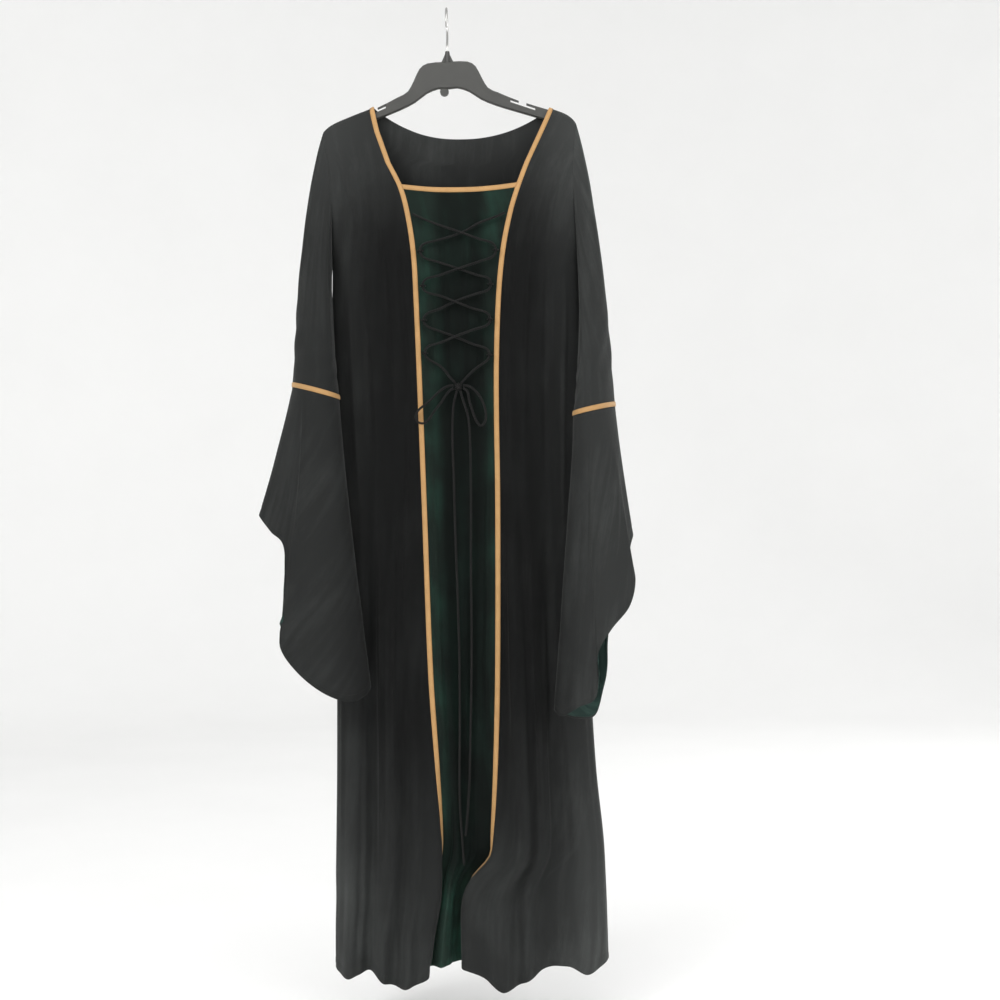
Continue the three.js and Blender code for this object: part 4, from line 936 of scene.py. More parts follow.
DEEP_BLACK = (0.0038, 0.0040, 0.0039, 1.0)
HAZE_BLACK = (0.0080, 0.0086, 0.0083, 1.0)
DEEP_GREEN = (0.0014, 0.0026, 0.0020, 1.0)
HAZE_GREEN = (0.0022, 0.0072, 0.0050, 1.0)
# Painted light: the bells' lining is the green velvet again, its colours painted several times lighter in
# place of light falling into the cuffs.
LINING_DEEP_PAINTED_LIGHTER = (0.0100, 0.0240, 0.0200, 1.0)
LINING_BRUSHED_PAINTED_LIGHTER = (0.0380, 0.0820, 0.0680, 1.0)
GOLD = (0.290, 0.152, 0.048, 1.0)
# Painted highlight: the paler gold on the crests of the trim's ribs.
GOLD_PAINTED_HIGHLIGHT = (0.450, 0.260, 0.100, 1.0)
LACE_BLACK = (0.0020, 0.0020, 0.0019, 1.0)
# Painted highlight: the lighter black on the lace strands' crests; it is also the black hem thread's plain
# colour.
LACE_HIGHLIGHT_AND_THREAD = (0.0075, 0.0072, 0.0066, 1.0)
PLASTIC = (0.026, 0.026, 0.023, 1.0)
STEEL = (0.420, 0.420, 0.410, 1.0)
# Painted light: places where the velvet's colour is painted lighter, in place of light and haze that fall on
# it, from "starts" to "full" along an axis, in metres, with the share added there.
PaintedLightPlace = namedtuple("PaintedLightPlace", "axis starts full share")
# Painted light on the black velvet: lighter at the shoulders, towards the hem and towards both sides.
BLACK_PAINTED_LIGHT = (
    PaintedLightPlace("Z", -0.42, -0.16, 4.20),
    PaintedLightPlace("Z", -1.15, -1.62, 3.80),
    PaintedLightPlace("X", 0.12, 0.25, 5.00),
    PaintedLightPlace("X", -0.10, -0.24, 3.00),
)
# Painted light on the green panel: lighter near its top, over its lowest part and in a strip beside each
# trim.
GREEN_PAINTED_LIGHT = (
    PaintedLightPlace("Z", -0.50, -0.30, 0.80),
    PaintedLightPlace("Z", -1.42, -1.52, 7.00),
    PaintedLightPlace("X", -0.010, -0.036, 2.80),
    PaintedLightPlace("X", 0.046, 0.066, 2.20),
)
FLOOR_WHITE = (0.95, 0.95, 0.945, 1.0)


def size(label, text, value, kind="NONE", unit="LENGTH"):
    return bpy.props.FloatProperty(name=label, description=text, default=value, subtype=kind, unit=unit)


def colour(label, text, value):
    return bpy.props.FloatVectorProperty(name=label, description=text, default=value, subtype="COLOR", size=4)


class DressSizes(bpy.types.PropertyGroup):
    """Sizes of the dress's lacing, trim and sewing."""

    lace_width: size("Lace width", "Diameter of the round lace", LACE_WIDE)
    loop_width: size("Loop width", "Diameter of the small loops' cord", LOOP_WIDE)
    trim_thickness: size("Trim thickness", "Thickness of the gold trim at its middle", 0.0012)
    stitch_spacing: size("Stitch spacing", "From one stitch to the next", 0.0034)
    stitch_length: size("Stitch length", "Length of one stitch", 0.0024)
    stitch_width: size("Stitch width", "Thickness of the sewing thread", 0.0005)
    pile_height: size("Pile height", "Height of the velvet's pile in its relief", 0.0005)
    creases: size("Creases", "Share of the fine creases' height", 1.0, "FACTOR", "NONE")


class DressColours(bpy.types.PropertyGroup):
    """Colours of the dress and its hanger."""

    black_deep: colour("Black, deep", "Black velvet where its pile points at the eye", DEEP_BLACK)
    black_haze: colour("Black, brushed", "Black velvet where its pile lies flat", HAZE_BLACK)
    green_deep: colour("Green, deep", "Green velvet where its pile points at the eye", DEEP_GREEN)
    green_haze: colour("Green, brushed", "Green velvet where its pile lies flat", HAZE_GREEN)
    # Painted light: the lining's colours are the green velvet's, painted lighter.
    lining_deep: colour("Lining, deep", "The bells' green lining in its folds", LINING_DEEP_PAINTED_LIGHTER)
    lining_haze: colour("Lining, brushed", "The bells' green lining where it catches the light", LINING_BRUSHED_PAINTED_LIGHTER)
    gold: colour("Gold", "The trim's thread", GOLD)
    # Painted highlight on the trim's ribs.
    pale_gold: colour("Gold, painted highlight", "The trim's raised ribs", GOLD_PAINTED_HIGHLIGHT)
    lace: colour("Lace", "The lace's thread", LACE_BLACK)
    # Painted highlight on the lace's strands, and the hem thread's plain colour.
    lace_shine: colour("Lace, raised", "The lace's raised strands", LACE_HIGHLIGHT_AND_THREAD)
    plastic: colour("Hanger", "The hanger's plastic", PLASTIC)
    steel: colour("Hook", "The hook's wire", STEEL)


class Tree:
    """A node tree that is built by name: add() makes a node, sets its inputs and gives it back."""

    def __init__(self, tree):
        self.nodes, self.links = tree.nodes, tree.links

    def add(self, kind, inputs=None, **values):
        node = self.nodes.new(kind)
        for name, value in values.items():
            setattr(node, name, value)
        for name, value in (inputs or {}).items():
            socket = node.inputs[name]
            if isinstance(value, bpy.types.NodeSocket):
                self.links.new(value, socket)
            else:
                socket.default_value = value
        return node

    def first(self, kind, inputs=None, **values):
        """The first output of a new node."""
        return self.add(kind, inputs, **values).outputs[0]

    def maths(self, operation, first, second=0.0, third=0.0):
        return self.first("ShaderNodeMath", {0: first, 1: second, 2: third}, operation=operation)

    def blended(self, factor, first, second):
        return self.add("ShaderNodeMix", {0: factor, 6: first, 7: second}, data_type="RGBA").outputs[2]

    def stretched(self, vector, scale):
        return self.first("ShaderNodeVectorMath", {0: vector, 1: scale}, operation="MULTIPLY")

    def lighter(self, tint, times):
        return self.first("ShaderNodeVectorMath", {0: tint, "Scale": times}, operation="SCALE")

    def noise(self, vector, scale, detail):
        return self.first("ShaderNodeTexNoise", {"Vector": vector, "Scale": scale, "Detail": detail})

    def clamped(self, value):
        return self.first("ShaderNodeClamp", {"Value": value})

    def axes(self, vector):
        return self.add("ShaderNodeSeparateXYZ", {"Vector": vector}).outputs


def velvet_nap(tree, given):
    """Velvet: brushed patches and long streaks in its colour, scaled by painted light at places of the dress,
    and a fine pile in its relief.
    """
    where = given["Vector"]
    long_way = tree.stretched(where, (1.0, 0.10, 1.0))
    patches = tree.noise(where, given["Patches"], 4.0)
    streaks = tree.noise(long_way, given["Streaks"], 3.0)
    broad = tree.maths("MULTIPLY_ADD", patches, 2.4, -1.05)
    fine = tree.maths("MULTIPLY_ADD", streaks, 1.6, -0.80)
    both = tree.maths("MULTIPLY", tree.maths("ADD", broad, fine), given["Brushing"])
    grain = tree.maths("MULTIPLY_ADD", tree.noise(long_way, 900.0, 2.0), 0.5, -0.25)
    share = tree.clamped(tree.maths("ADD", both, grain))
    # Painted light: the colour is scaled up where light and haze are painted in.
    tinted = tree.lighter(tree.blended(share, given["Deep"], given["Brushed"]), given["Lightness"])
    rough = tree.maths("MULTIPLY_ADD", share, -0.10, given["Roughness"])
    height = tree.maths("MULTIPLY_ADD", streaks, 0.6, tree.noise(where, 1500.0, 2.0))
    return tinted, rough, {"Height": height, "Distance": given["Pile"], "Strength": 0.7}


def woven_braid(tree, given):
    """Flat woven trim with slanting ribs across it, their crests painted paler as a highlight and broken by a
    worn mottle. U is in metres across, V along.
    """
    parts = tree.axes(given["Vector"])
    cross = tree.maths("DIVIDE", parts["X"], given["Rib"])
    down = tree.maths("DIVIDE", parts["Y"], given["Rib"])
    turn = 2 * math.pi
    one_way = tree.maths("SINE", tree.maths("MULTIPLY", tree.maths("ADD", down, cross), turn))
    other_way = tree.maths("SINE", tree.maths("MULTIPLY", tree.maths("SUBTRACT", down, cross), turn))
    woven = tree.maths("MULTIPLY_ADD", tree.maths("MAXIMUM", one_way, other_way), 0.5, 0.5)
    worn = tree.noise(given["Vector"], 60.0, 5.0)
    # Painted highlight: the weave's crests take the paler colour, broken up by the worn mottle.
    share = tree.clamped(tree.maths("MULTIPLY", woven, tree.maths("MULTIPLY_ADD", worn, 1.2, 0.2)))
    rough = tree.maths("MULTIPLY_ADD", worn, 0.15, given["Roughness"])
    tinted = tree.blended(share, given["Thread"], given["Raised"])
    return tinted, rough, {"Height": woven, "Distance": given["Height"], "Strength": 0.8}


def twisted_cord(tree, given):
    """Twisted or braided cord: strands that wind round it, their crests painted lighter as a highlight. U is
    the share round it, V metres along.
    """
    parts = tree.axes(given["Vector"])
    along = tree.maths("DIVIDE", parts["Y"], given["Lay"])
    winding = tree.maths("MULTIPLY", tree.maths("ADD", parts["X"], along), given["Strands"])
    strand = tree.maths("ABSOLUTE", tree.maths("SINE", tree.maths("MULTIPLY", winding, math.pi)))
    hairs = tree.noise(given["Vector"], 300.0, 3.0)
    share = tree.maths("MULTIPLY", tree.maths("POWER", strand, 1.5), tree.maths("ADD", hairs, 0.3))
    # Painted highlight: the strands' crests take the lighter colour.
    tinted = tree.blended(tree.clamped(share), given["Thread"], given["Raised"])
    rough = tree.maths("MULTIPLY_ADD", hairs, 0.2, given["Roughness"])
    height = tree.maths("MULTIPLY_ADD", hairs, 0.15, strand)
    return tinted, rough, {"Height": height, "Distance": given["Height"], "Strength": 0.9}


def worn_surface(tree, given):
    """A hard surface with a light mottle, fine scuffs and a soft unevenness, on Object coordinates."""
    mottle = tree.noise(given["Vector"], given["Scale"], 5.0)
    scuffs = tree.noise(tree.stretched(given["Vector"], (1.0, 1.0, 9.0)), 160.0, 6.0)
    lift = tree.maths("MULTIPLY", tree.maths("SUBTRACT", mottle, 0.5), given["Mottle"])
    tinted = tree.lighter(given["Color"], tree.maths("MULTIPLY_ADD", lift, 4.0, 1.0))
    rough = tree.maths("MULTIPLY_ADD", scuffs, 0.3, tree.maths("SUBTRACT", given["Roughness"], 0.15))
    height = tree.maths("MULTIPLY_ADD", tree.noise(given["Vector"], 1400.0, 2.0), 0.3, scuffs)
    return tinted, rough, {"Height": height, "Distance": given["Relief"], "Strength": 0.5}


# Each shared group: what builds it, its colours and its numbers
SURFACES = {
    "velvet nap": (velvet_nap, {"Deep": DEEP_BLACK, "Brushed": HAZE_BLACK}, {
        "Patches": 7.0, "Streaks": 70.0, "Brushing": 1.0, "Pile": 0.0005, "Roughness": 0.8,
        "Lightness": 1.0}),
    "woven braid": (woven_braid, {"Thread": GOLD, "Raised": GOLD_PAINTED_HIGHLIGHT}, {
        "Rib": 0.0013, "Height": 0.0002, "Roughness": 0.5}),
    "twisted cord": (twisted_cord, {"Thread": LACE_BLACK, "Raised": LACE_HIGHLIGHT_AND_THREAD}, {
        "Strands": 3.0, "Lay": 0.009, "Height": 0.0004, "Roughness": 0.55}),
    "worn surface": (worn_surface, {"Color": PLASTIC}, {
        "Mottle": 0.15, "Scale": 40.0, "Relief": 0.0003, "Roughness": 0.5}),
}


def surface(name):
    """A shader node group that several materials share: it gives a colour, a roughness and a normal."""
    if name in bpy.data.node_groups:
        return bpy.data.node_groups[name]
    build, colours, numbers = SURFACES[name]
    group = bpy.data.node_groups.new(name, "ShaderNodeTree")
    group.interface.new_socket(name="Vector", in_out="INPUT", socket_type="NodeSocketVector")
    for kind, given in (("NodeSocketColor", colours), ("NodeSocketFloat", numbers)):
        for label, value in given.items():
            socket = group.interface.new_socket(name=label, in_out="INPUT", socket_type=kind)
            socket.default_value = value
    for label, kind in (("Color", "Color"), ("Roughness", "Float"), ("Normal", "Vector")):
        group.interface.new_socket(name=label, in_out="OUTPUT", socket_type="NodeSocket" + kind)
    tree = Tree(group)
    tinted, rough, relief = build(tree, tree.add("NodeGroupInput").outputs)
    out = tree.add("NodeGroupOutput").inputs
    tree.links.new(tinted, out["Color"])
    tree.links.new(rough, out["Roughness"])
    tree.links.new(tree.first("ShaderNodeBump", relief), out["Normal"])
    return group


def painted_light_scale(tree, places):
    """Painted light: how much lighter the cloth's colour is painted at each place of the dress, in place of
    light and haze: 1 where nothing adds to it.
    """
    where = tree.axes(tree.add("ShaderNodeTexCoord").outputs["Object"])
    total = 1.0
    for place in places:
        ramp = {"Value": where[place.axis], 1: place.starts, 2: place.full, 3: 0.0, 4: place.share}
        share = tree.first("ShaderNodeMapRange", ramp, interpolation_type="SMOOTHSTEP")
        total = tree.maths("ADD", share, total)
    return total


# Each material: its shared group, the group's inputs (by a property's name, or as numbers), its shader's
# constants and its places of painted light
Look = namedtuple("Look", "group chosen numbers constants places", defaults=((),))
LOOKS = {
    "black velvet": Look(
        "velvet nap", {"Deep": "black_deep", "Brushed": "black_haze"},
        {"Patches": 6.0, "Streaks": 70.0, "Brushing": 0.7, "Roughness": 0.86},
        {"Sheen Weight": 0.13, "Sheen Roughness": 0.40, "Sheen Tint": (0.50, 0.51, 0.50, 1.0),
         "Specular IOR Level": 0.10}, BLACK_PAINTED_LIGHT),
    "green velvet": Look(
        "velvet nap", {"Deep": "green_deep", "Brushed": "green_haze"},
        {"Patches": 9.0, "Streaks": 60.0, "Brushing": 1.2, "Roughness": 0.80},
        {"Sheen Weight": 0.12, "Sheen Roughness": 0.40, "Sheen Tint": (0.20, 0.42, 0.34, 1.0),
         "Specular IOR Level": 0.10}, GREEN_PAINTED_LIGHT),
    # Painted light: a lighter copy of the green velvet, for the bells' linings.
    "green lining": Look(
        "velvet nap", {"Deep": "lining_deep", "Brushed": "lining_haze"},
        {"Patches": 9.0, "Streaks": 60.0, "Brushing": 1.2, "Roughness": 0.70},
        {"Sheen Weight": 0.14, "Sheen Roughness": 0.40, "Sheen Tint": (0.30, 0.60, 0.50, 1.0),
         "Specular IOR Level": 0.20}),
    "gold braid": Look(
        "woven braid", {"Thread": "gold", "Raised": "pale_gold"}, {"Roughness": 0.50},
        {"Sheen Weight": 0.20, "Sheen Tint": (1.0, 0.85, 0.60, 1.0), "Specular IOR Level": 0.40}),
    "gold thread": Look(
        "worn surface", {"Color": "gold"},
        {"Mottle": 0.2, "Scale": 300.0, "Relief": 0.0001, "Roughness": 0.55}, {"Specular IOR Level": 0.4}),
    "black thread": Look(
        "worn surface", {"Color": "lace_shine"},
        {"Mottle": 0.2, "Scale": 300.0, "Relief": 0.0001, "Roughness": 0.60}, {"Specular IOR Level": 0.3}),
    "black lace": Look(
        "twisted cord", {"Thread": "lace", "Raised": "lace_shine"}, {"Strands": 3.0, "Lay": 0.009},
        {"Sheen Weight": 0.02, "Specular IOR Level": 0.18}),
    "hanger plastic": Look(
        "worn surface", {"Color": "plastic"},
        {"Mottle": 0.12, "Scale": 30.0, "Relief": 0.0002, "Roughness": 0.48}, {"Specular IOR Level": 0.5}),
    "hook wire": Look(
        "worn surface", {"Color": "steel"},
        {"Mottle": 0.10, "Scale": 200.0, "Relief": 0.00005, "Roughness": 0.34}, {"Metallic": 1.0}),
    "backdrop paper": Look(
        "worn surface", {},
        {"Color": FLOOR_WHITE, "Mottle": 0.01, "Scale": 3.0, "Relief": 0.0, "Roughness": 0.9},
        {"Specular IOR Level": 0.0}),
}


def finish(name):
    """A material, made once: its shared group feeds its Principled shader's colour, roughness and normal."""
    if name in bpy.data.materials:
        return bpy.data.materials[name]
    look = LOOKS[name]
    material = bpy.data.materials.new(name)
    material.use_nodes = True
    tree = Tree(material.node_tree)
    shader = material.node_tree.nodes["Principled BSDF"]
    effect = tree.add("ShaderNodeGroup", node_tree=surface(look.group))
    if look.group == "worn surface":
        source = tree.add("ShaderNodeTexCoord").outputs["Object"]
    else:
        source = tree.first("ShaderNodeUVMap", uv_map="cloth")
    tree.links.new(source, effect.inputs["Vector"])
    # Painted light: the velvet's colour is painted lighter by place.
    if look.places:
        tree.links.new(painted_light_scale(tree, look.places), effect.inputs["Lightness"])
    scene = bpy.context.scene
    values = {label: getattr(scene.dress_colours, name_of) for label, name_of in look.chosen.items()}
    if look.group == "velvet nap":
        values["Pile"] = scene.dress_sizes.pile_height
    for label, value in {**values, **look.numbers}.items():
        effect.inputs[label].default_value = value
    for label, value in look.constants.items():
        shader.inputs[label].default_value = value
    for label, socket in (("Color", "Base Color"), ("Roughness", "Roughness"), ("Normal", "Normal")):
        tree.links.new(effect.outputs[label], shader.inputs[socket])
    return material


CLOTHS = {}


def cloths():
    """All of the dress's cloths, worked out once, with the green panel sewn to the two black fronts."""
    if not CLOTHS:
        rise = bpy.context.scene.dress_sizes.creases
        CLOTHS["front_centre"] = centre_cloth(rise)
        for side, at_column in (("left", 0), ("right", -1)):
            CLOTHS["front_side_" + side] = front_cloth(side, rise)
            sew(CLOTHS["front_centre"], at_column, CLOTHS["front_side_" + side])
        CLOTHS["back"] = back_cloth(rise)
        for side in SIDES:
            CLOTHS["sleeve_upper_" + side] = sleeve_cloth(side, rise)
            CLOTHS["sleeve_bell_" + side] = bell_cloth(side, rise)
            CLOTHS["bell_lining_" + side] = lining_cloth(CLOTHS["sleeve_bell_" + side])
    return CLOTHS


def stands_for(made, slot, *nodes):
    """Puts a finished piece in the place of its CAD nodes."""
    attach(made, "root")
    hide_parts(*nodes)


# The size that each piece of cloth was cut to, as a rectangle's width and length, with its own area
SheetCut = namedtuple("SheetCut", "width length area")


def sewn_sheet(name, thick, look, slot):
    """Makes one cut piece of cloth."""
    cloth = cloths()[name]
    made = cloth_object(name + "_cloth", cloth, thick, finish(look))
    stands_for(made, slot, name)
    return made


class DRESS_OT_stage(bpy.types.Operator):
    """Makes the camera, the lights, the floor and the backdrop"""

    bl_idname = "dress.stage"
    bl_label = "Stage"

    def execute(self, context):
        scene = context.scene
        lens = bpy.data.cameras.new("camera")
        lens.lens, lens.sensor_width, lens.sensor_fit = CAMERA_LENS, CAMERA_SENSOR, "HORIZONTAL"
        lens.clip_end = 30.0
        camera = bpy.data.objects.new("camera", lens)
        roll = math.radians(CAMERA_ROLL)
        right, up = (math.cos(roll), 0.0, -math.sin(roll)), (math.sin(roll), 0.0, math.cos(roll))
        turned = Matrix((right, up, (0.0, -1.0, 0.0))).transposed().to_4x4()
        camera.matrix_world = Matrix.Translation(CAMERA_AT) @ turned
        scene.collection.objects.link(camera)
        scene.camera = camera
        scene.view_settings.view_transform = "Standard"
        world = bpy.data.worlds.new("studio")
        world.use_nodes = True
        sky = world.node_tree.nodes["Background"].inputs
        sky["Color"].default_value, sky["Strength"].default_value = (1.0, 1.0, 1.0, 1.0), SKY_STRENGTH
        scene.world = world
        for name, place_at, side_length, power in LAMPS:
            lamp = bpy.data.lights.new(name, "AREA")
            lamp.shape, lamp.size, lamp.energy = "SQUARE", side_length, power
            made = bpy.data.objects.new(name, lamp)
            made.matrix_world = Matrix.Translation(place_at) @ direction_matrix(unit(AIM - place_at))
            scene.collection.objects.link(made)
        backdrop()
        return {"FINISHED"}


CAMERA_AT = (0.0764, -2.6, -0.8344)
CAMERA_ROLL = 1.0
CAMERA_LENS = 55.0
CAMERA_SENSOR = 36.0
SKY_STRENGTH = 0.75
Lamp = namedtuple("Lamp", "name place size power")
AIM = np.array([0.0, 0.0, -0.85])
LAMPS = [
    Lamp("key", (-1.8, -2.2, 0.7), 1.2, 45.0),
    Lamp("fill", (2.4, -1.6, -0.2), 1.6, 28.0),
    Lamp("above", (0.1, -0.9, 0.5), 0.8, 7.0),
    Lamp("low", (-0.2, -1.0, -1.66), 0.7, 5.0),
    Lamp("behind", (2.6, 2.1, 0.5), 1.2, 30.0),
]


def direction_matrix(toward):
    """A turn that points a lamp, which shines down its own -Z, in a direction."""
    back_way = -toward
    side_way = unit(np.cross((0.0, 0.0, 1.0), back_way))
    up_way = np.cross(back_way, side_way)
    return Matrix((side_way, up_way, back_way)).transposed().to_4x4()


FLOOR_DROP = 1.72
STUDIO_BEND = 3.6
STUDIO_ROUND = 1.2
STUDIO_TOP = 4.0
STUDIO_SIDES = 96


def backdrop():
    """A pale round floor that curves up into a wall all round, well outside the camera."""
    line = [(STUDIO_BEND * share, -FLOOR_DROP) for share in (0.02, 0.2, 0.5, 1.0)]
    for angle in np.radians(np.linspace(0.0, 90.0, 17))[1:]:
        rise = STUDIO_ROUND * (1.0 - math.cos(angle))
        line.append((STUDIO_BEND + STUDIO_ROUND * math.sin(angle), rise - FLOOR_DROP))
    line.append((STUDIO_BEND + STUDIO_ROUND, STUDIO_TOP))
    turns = np.linspace(0.0, 2 * math.pi, STUDIO_SIDES, endpoint=False)
    vertices = [(r * math.cos(a), r * math.sin(a), z) for r, z in line for a in turns]
    faces = [tuple(range(STUDIO_SIDES))]
    for k in range(len(line) - 1):
        for j in range(STUDIO_SIDES):
            after = (j + 1) % STUDIO_SIDES
            row, above = k * STUDIO_SIDES, (k + 1) * STUDIO_SIDES
            faces.append((row + j, above + j, above + after, row + after))
    corners = [(vertices[v][0], vertices[v][1]) for face in faces for v in face]
    return new_object("backdrop", vertices, faces, corners, finish("backdrop paper"))


class DRESS_OT_laces(bpy.types.Operator):
    """Makes the lacing: two laces, the two sides of the bow, and the two hanging ends"""

    bl_idname = "dress.laces"
    bl_label = "Laces"

    def execute(self, context):
        wide = context.scene.dress_sizes.lace_width
        for name, lace in LACES.items():
            path = spline(lace.route, LACE_STEP)
            radii = np.full(len(path), wide / 2)
            if lace.far_end == "bare":
                radii = np.minimum(radii, rounded_ends(path, wide / 2) + (np.arange(len(path)) < 3) * wide)
            made = tube_object(name + "_cord", path, radii, 10, finish("black lace"))
            stands_for(made, "black_lace", name)
        return {"FINISHED"}


class DRESS_OT_knot_and_loops(bpy.types.Operator):
    """Makes the knot, and the small loops that hold the laces beside the trim"""

    bl_idname = "dress.knot_and_loops"
    bl_label = "Knot and loops"

    def execute(self, context):
        made = new_object("lace_knot_tied", *knot_parts(), finish("black lace"))
        stands_for(made, "black_lace", "lace_knot")
        radius = context.scene.dress_sizes.loop_width / 2
        for side, spots in LOOPS.items():
            for number, spot in enumerate(spots, 1):
                name, path = f"loop_{side}_{number}", loop_path(spot)
                made = tube_object(name + "_sewn", path, np.full(len(path), radius), 8, finish("black lace"))
                stands_for(made, "black_lace", name)
        return {"FINISHED"}


class DRESS_OT_front(bpy.types.Operator):
    """Makes the front: two black velvet sides and the green panel between them"""

    bl_idname = "dress.front"
    bl_label = "Front"

    def execute(self, context):
        for side in SIDES:
            sewn_sheet("front_side_" + side, VELVET, "black velvet", "black_velvet")
        sewn_sheet("front_centre", VELVET, "green velvet", "green_velvet")
        return {"FINISHED"}


class DRESS_OT_back(bpy.types.Operator):
    """Makes the plain black back"""

    bl_idname = "dress.back"
    bl_label = "Back"

    def execute(self, context):
        sewn_sheet("back", VELVET, "black velvet", "black_velvet")
        return {"FINISHED"}


class DRESS_OT_sleeves(bpy.types.Operator):
    """Makes both upper sleeves, and their trumpet cuffs with green linings"""

    bl_idname = "dress.sleeves"
    bl_label = "Sleeves"

    def execute(self, context):
        for side in SIDES:
            sewn_sheet("sleeve_upper_" + side, VELVET, "black velvet", "black_velvet")
            sewn_sheet("sleeve_bell_" + side, VELVET, "black velvet", "black_velvet")
            sewn_sheet("bell_lining_" + side, LINING, "green lining", "green_velvet")
        return {"FINISHED"}


# The trim's height across it, and its two lines of stitches, as shares
TRIM_PROFILE = np.array([0.55, 0.95, 1.0, 0.95, 0.55])
STITCH_LINES = (0.15, 0.85)
STITCH_LIFT = 0.80


def trimmed_strips():
    """The strip of cloth under each gold trim: the trim's name, its cloth, and whether it follows rows."""
    low = slice(-TRIM_COLUMNS, None)
    for side, edge in (("left", low), ("right", slice(0, TRIM_COLUMNS))):
        yield "trim_front_" + side, cloths()["front_side_" + side].patch(slice(None), edge), False
        yield "sleeve_band_" + side, cloths()["sleeve_upper_" + side].patch(low, slice(None)), True
    yield "trim_neck", cloths()["front_centre"].patch(slice(0, TRIM_COLUMNS), slice(None)), True


class DRESS_OT_trim(bpy.types.Operator):
    """Makes the gold trim down the front, along the neck and round both sleeves"""

    bl_idname = "dress.trim"
    bl_label = "Gold trim"

    def execute(self, context):
        thick = context.scene.dress_sizes.trim_thickness
        for name, strip, along_rows in trimmed_strips():
            profile = TRIM_PROFILE[:, None] if along_rows else TRIM_PROFILE
            profile = np.broadcast_to(profile, strip.grid.shape[:2])
            made = laid_on(name + "_braid", strip, thick, profile, finish("gold braid"))
            stands_for(made, "gold_trim", name)
        return {"FINISHED"}


def stitch_row():
    """A tree that lays one small lump of thread after another along a line, flat on the cloth."""
    if "stitch row" in bpy.data.node_groups:
        return bpy.data.node_groups["stitch row"]
    group = bpy.data.node_groups.new("stitch row", "GeometryNodeTree")
    sockets = group.interface
    sockets.new_socket(name="Geometry", in_out="INPUT", socket_type="NodeSocketGeometry")
    for label in ("Spacing", "Length", "Width"):
        sockets.new_socket(name=label, in_out="INPUT", socket_type="NodeSocketFloat")
    sockets.new_socket(name="Thread", in_out="INPUT", socket_type="NodeSocketMaterial")
    sockets.new_socket(name="Geometry", in_out="OUTPUT", socket_type="NodeSocketGeometry")
    tree = Tree(group)
    given, out = tree.add("NodeGroupInput").outputs, tree.add("NodeGroupOutput").inputs
    line = tree.first("GeometryNodeMeshToCurve", {"Mesh": given["Geometry"]})
    inputs = {"Curve": line, "Length": given["Spacing"]}
    spots = tree.first("GeometryNodeResampleCurve", inputs, mode="LENGTH")
    facing = tree.first("GeometryNodeInputNamedAttribute", {"Name": "facing"}, data_type="FLOAT_VECTOR")
    flat = tree.first("FunctionNodeAlignRotationToVector", {"Vector": facing}, axis="Z")
    inputs = {"Rotation": flat, "Vector": tree.first("GeometryNodeInputTangent")}
    along = tree.first("FunctionNodeAlignRotationToVector", inputs, axis="X", pivot_axis="Z")
    half_long = tree.maths("MULTIPLY", given["Length"], 0.5)
    half_wide = tree.maths("MULTIPLY", given["Width"], 0.5)
    shape = tree.first("ShaderNodeCombineXYZ", {"X": half_long, "Y": half_wide, "Z": half_wide})
    lump = tree.first("GeometryNodeMeshUVSphere", {"Segments": 6, "Rings": 4, "Radius": 1.0})
    lump = tree.first("GeometryNodeTransform", {"Geometry": lump, "Scale": shape})
    inputs = {"Min": (0.86, 0.9, 0.9), "Max": (1.08, 1.1, 1.1), "Seed": 7}
    uneven = tree.first("FunctionNodeRandomValue", inputs, data_type="FLOAT_VECTOR")
    inputs = {"Points": spots, "Instance": lump, "Rotation": along, "Scale": uneven}
    stitches = tree.first("GeometryNodeInstanceOnPoints", inputs)
    real = tree.first("GeometryNodeRealizeInstances", {"Geometry": stitches})
    soft = tree.first("GeometryNodeSetShadeSmooth", {"Geometry": real})
    done = tree.first("GeometryNodeSetMaterial", {"Geometry": soft, "Material": given["Thread"]})
    tree.links.new(done, out[0])
    return group


def stitched(name, lines, spacing, material, slot):
    """Sews rows of stitches along lines, each an array of points and one of facings, as one plain mesh."""
    sizes = bpy.context.scene.dress_sizes
    mesh = bpy.data.meshes.new(name + "_lines")
    points = np.concatenate([line for line, _ in lines])
    facing = np.concatenate([look for _, look in lines])
    edges, start = [], 0
    for line, _ in lines:
        edges += [(start + k, start + k + 1) for k in range(len(line) - 1)]
        start += len(line)
    mesh.from_pydata(points.tolist(), edges, [])
    mesh.attributes.new("facing", "FLOAT_VECTOR", "POINT").data.foreach_set("vector", facing.ravel())
    guide = bpy.data.objects.new(name + "_lines", mesh)
    bpy.context.scene.collection.objects.link(guide)
    modifier = guide.modifiers.new("stitches", "NODES")
    modifier.node_group = stitch_row()
    values = {"Length": sizes.stitch_length, "Width": sizes.stitch_width}
    values.update({"Spacing": spacing, "Thread": material})
    for socket in modifier.node_group.interface.items_tree:
        if socket.in_out == "INPUT" and socket.name in values:
            modifier[socket.identifier] = values[socket.name]
    graph = bpy.context.evaluated_depsgraph_get()
    sewn = bpy.data.meshes.new_from_object(guide.evaluated_get(graph))
    guide.modifiers.remove(modifier)
    bpy.data.objects.remove(guide)
    if not len(sewn.polygons):
        raise RuntimeError("no stitches came out for " + name)
    made = bpy.data.objects.new(name, sewn)
    bpy.context.scene.collection.objects.link(made)
    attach(made, "root")
    return made


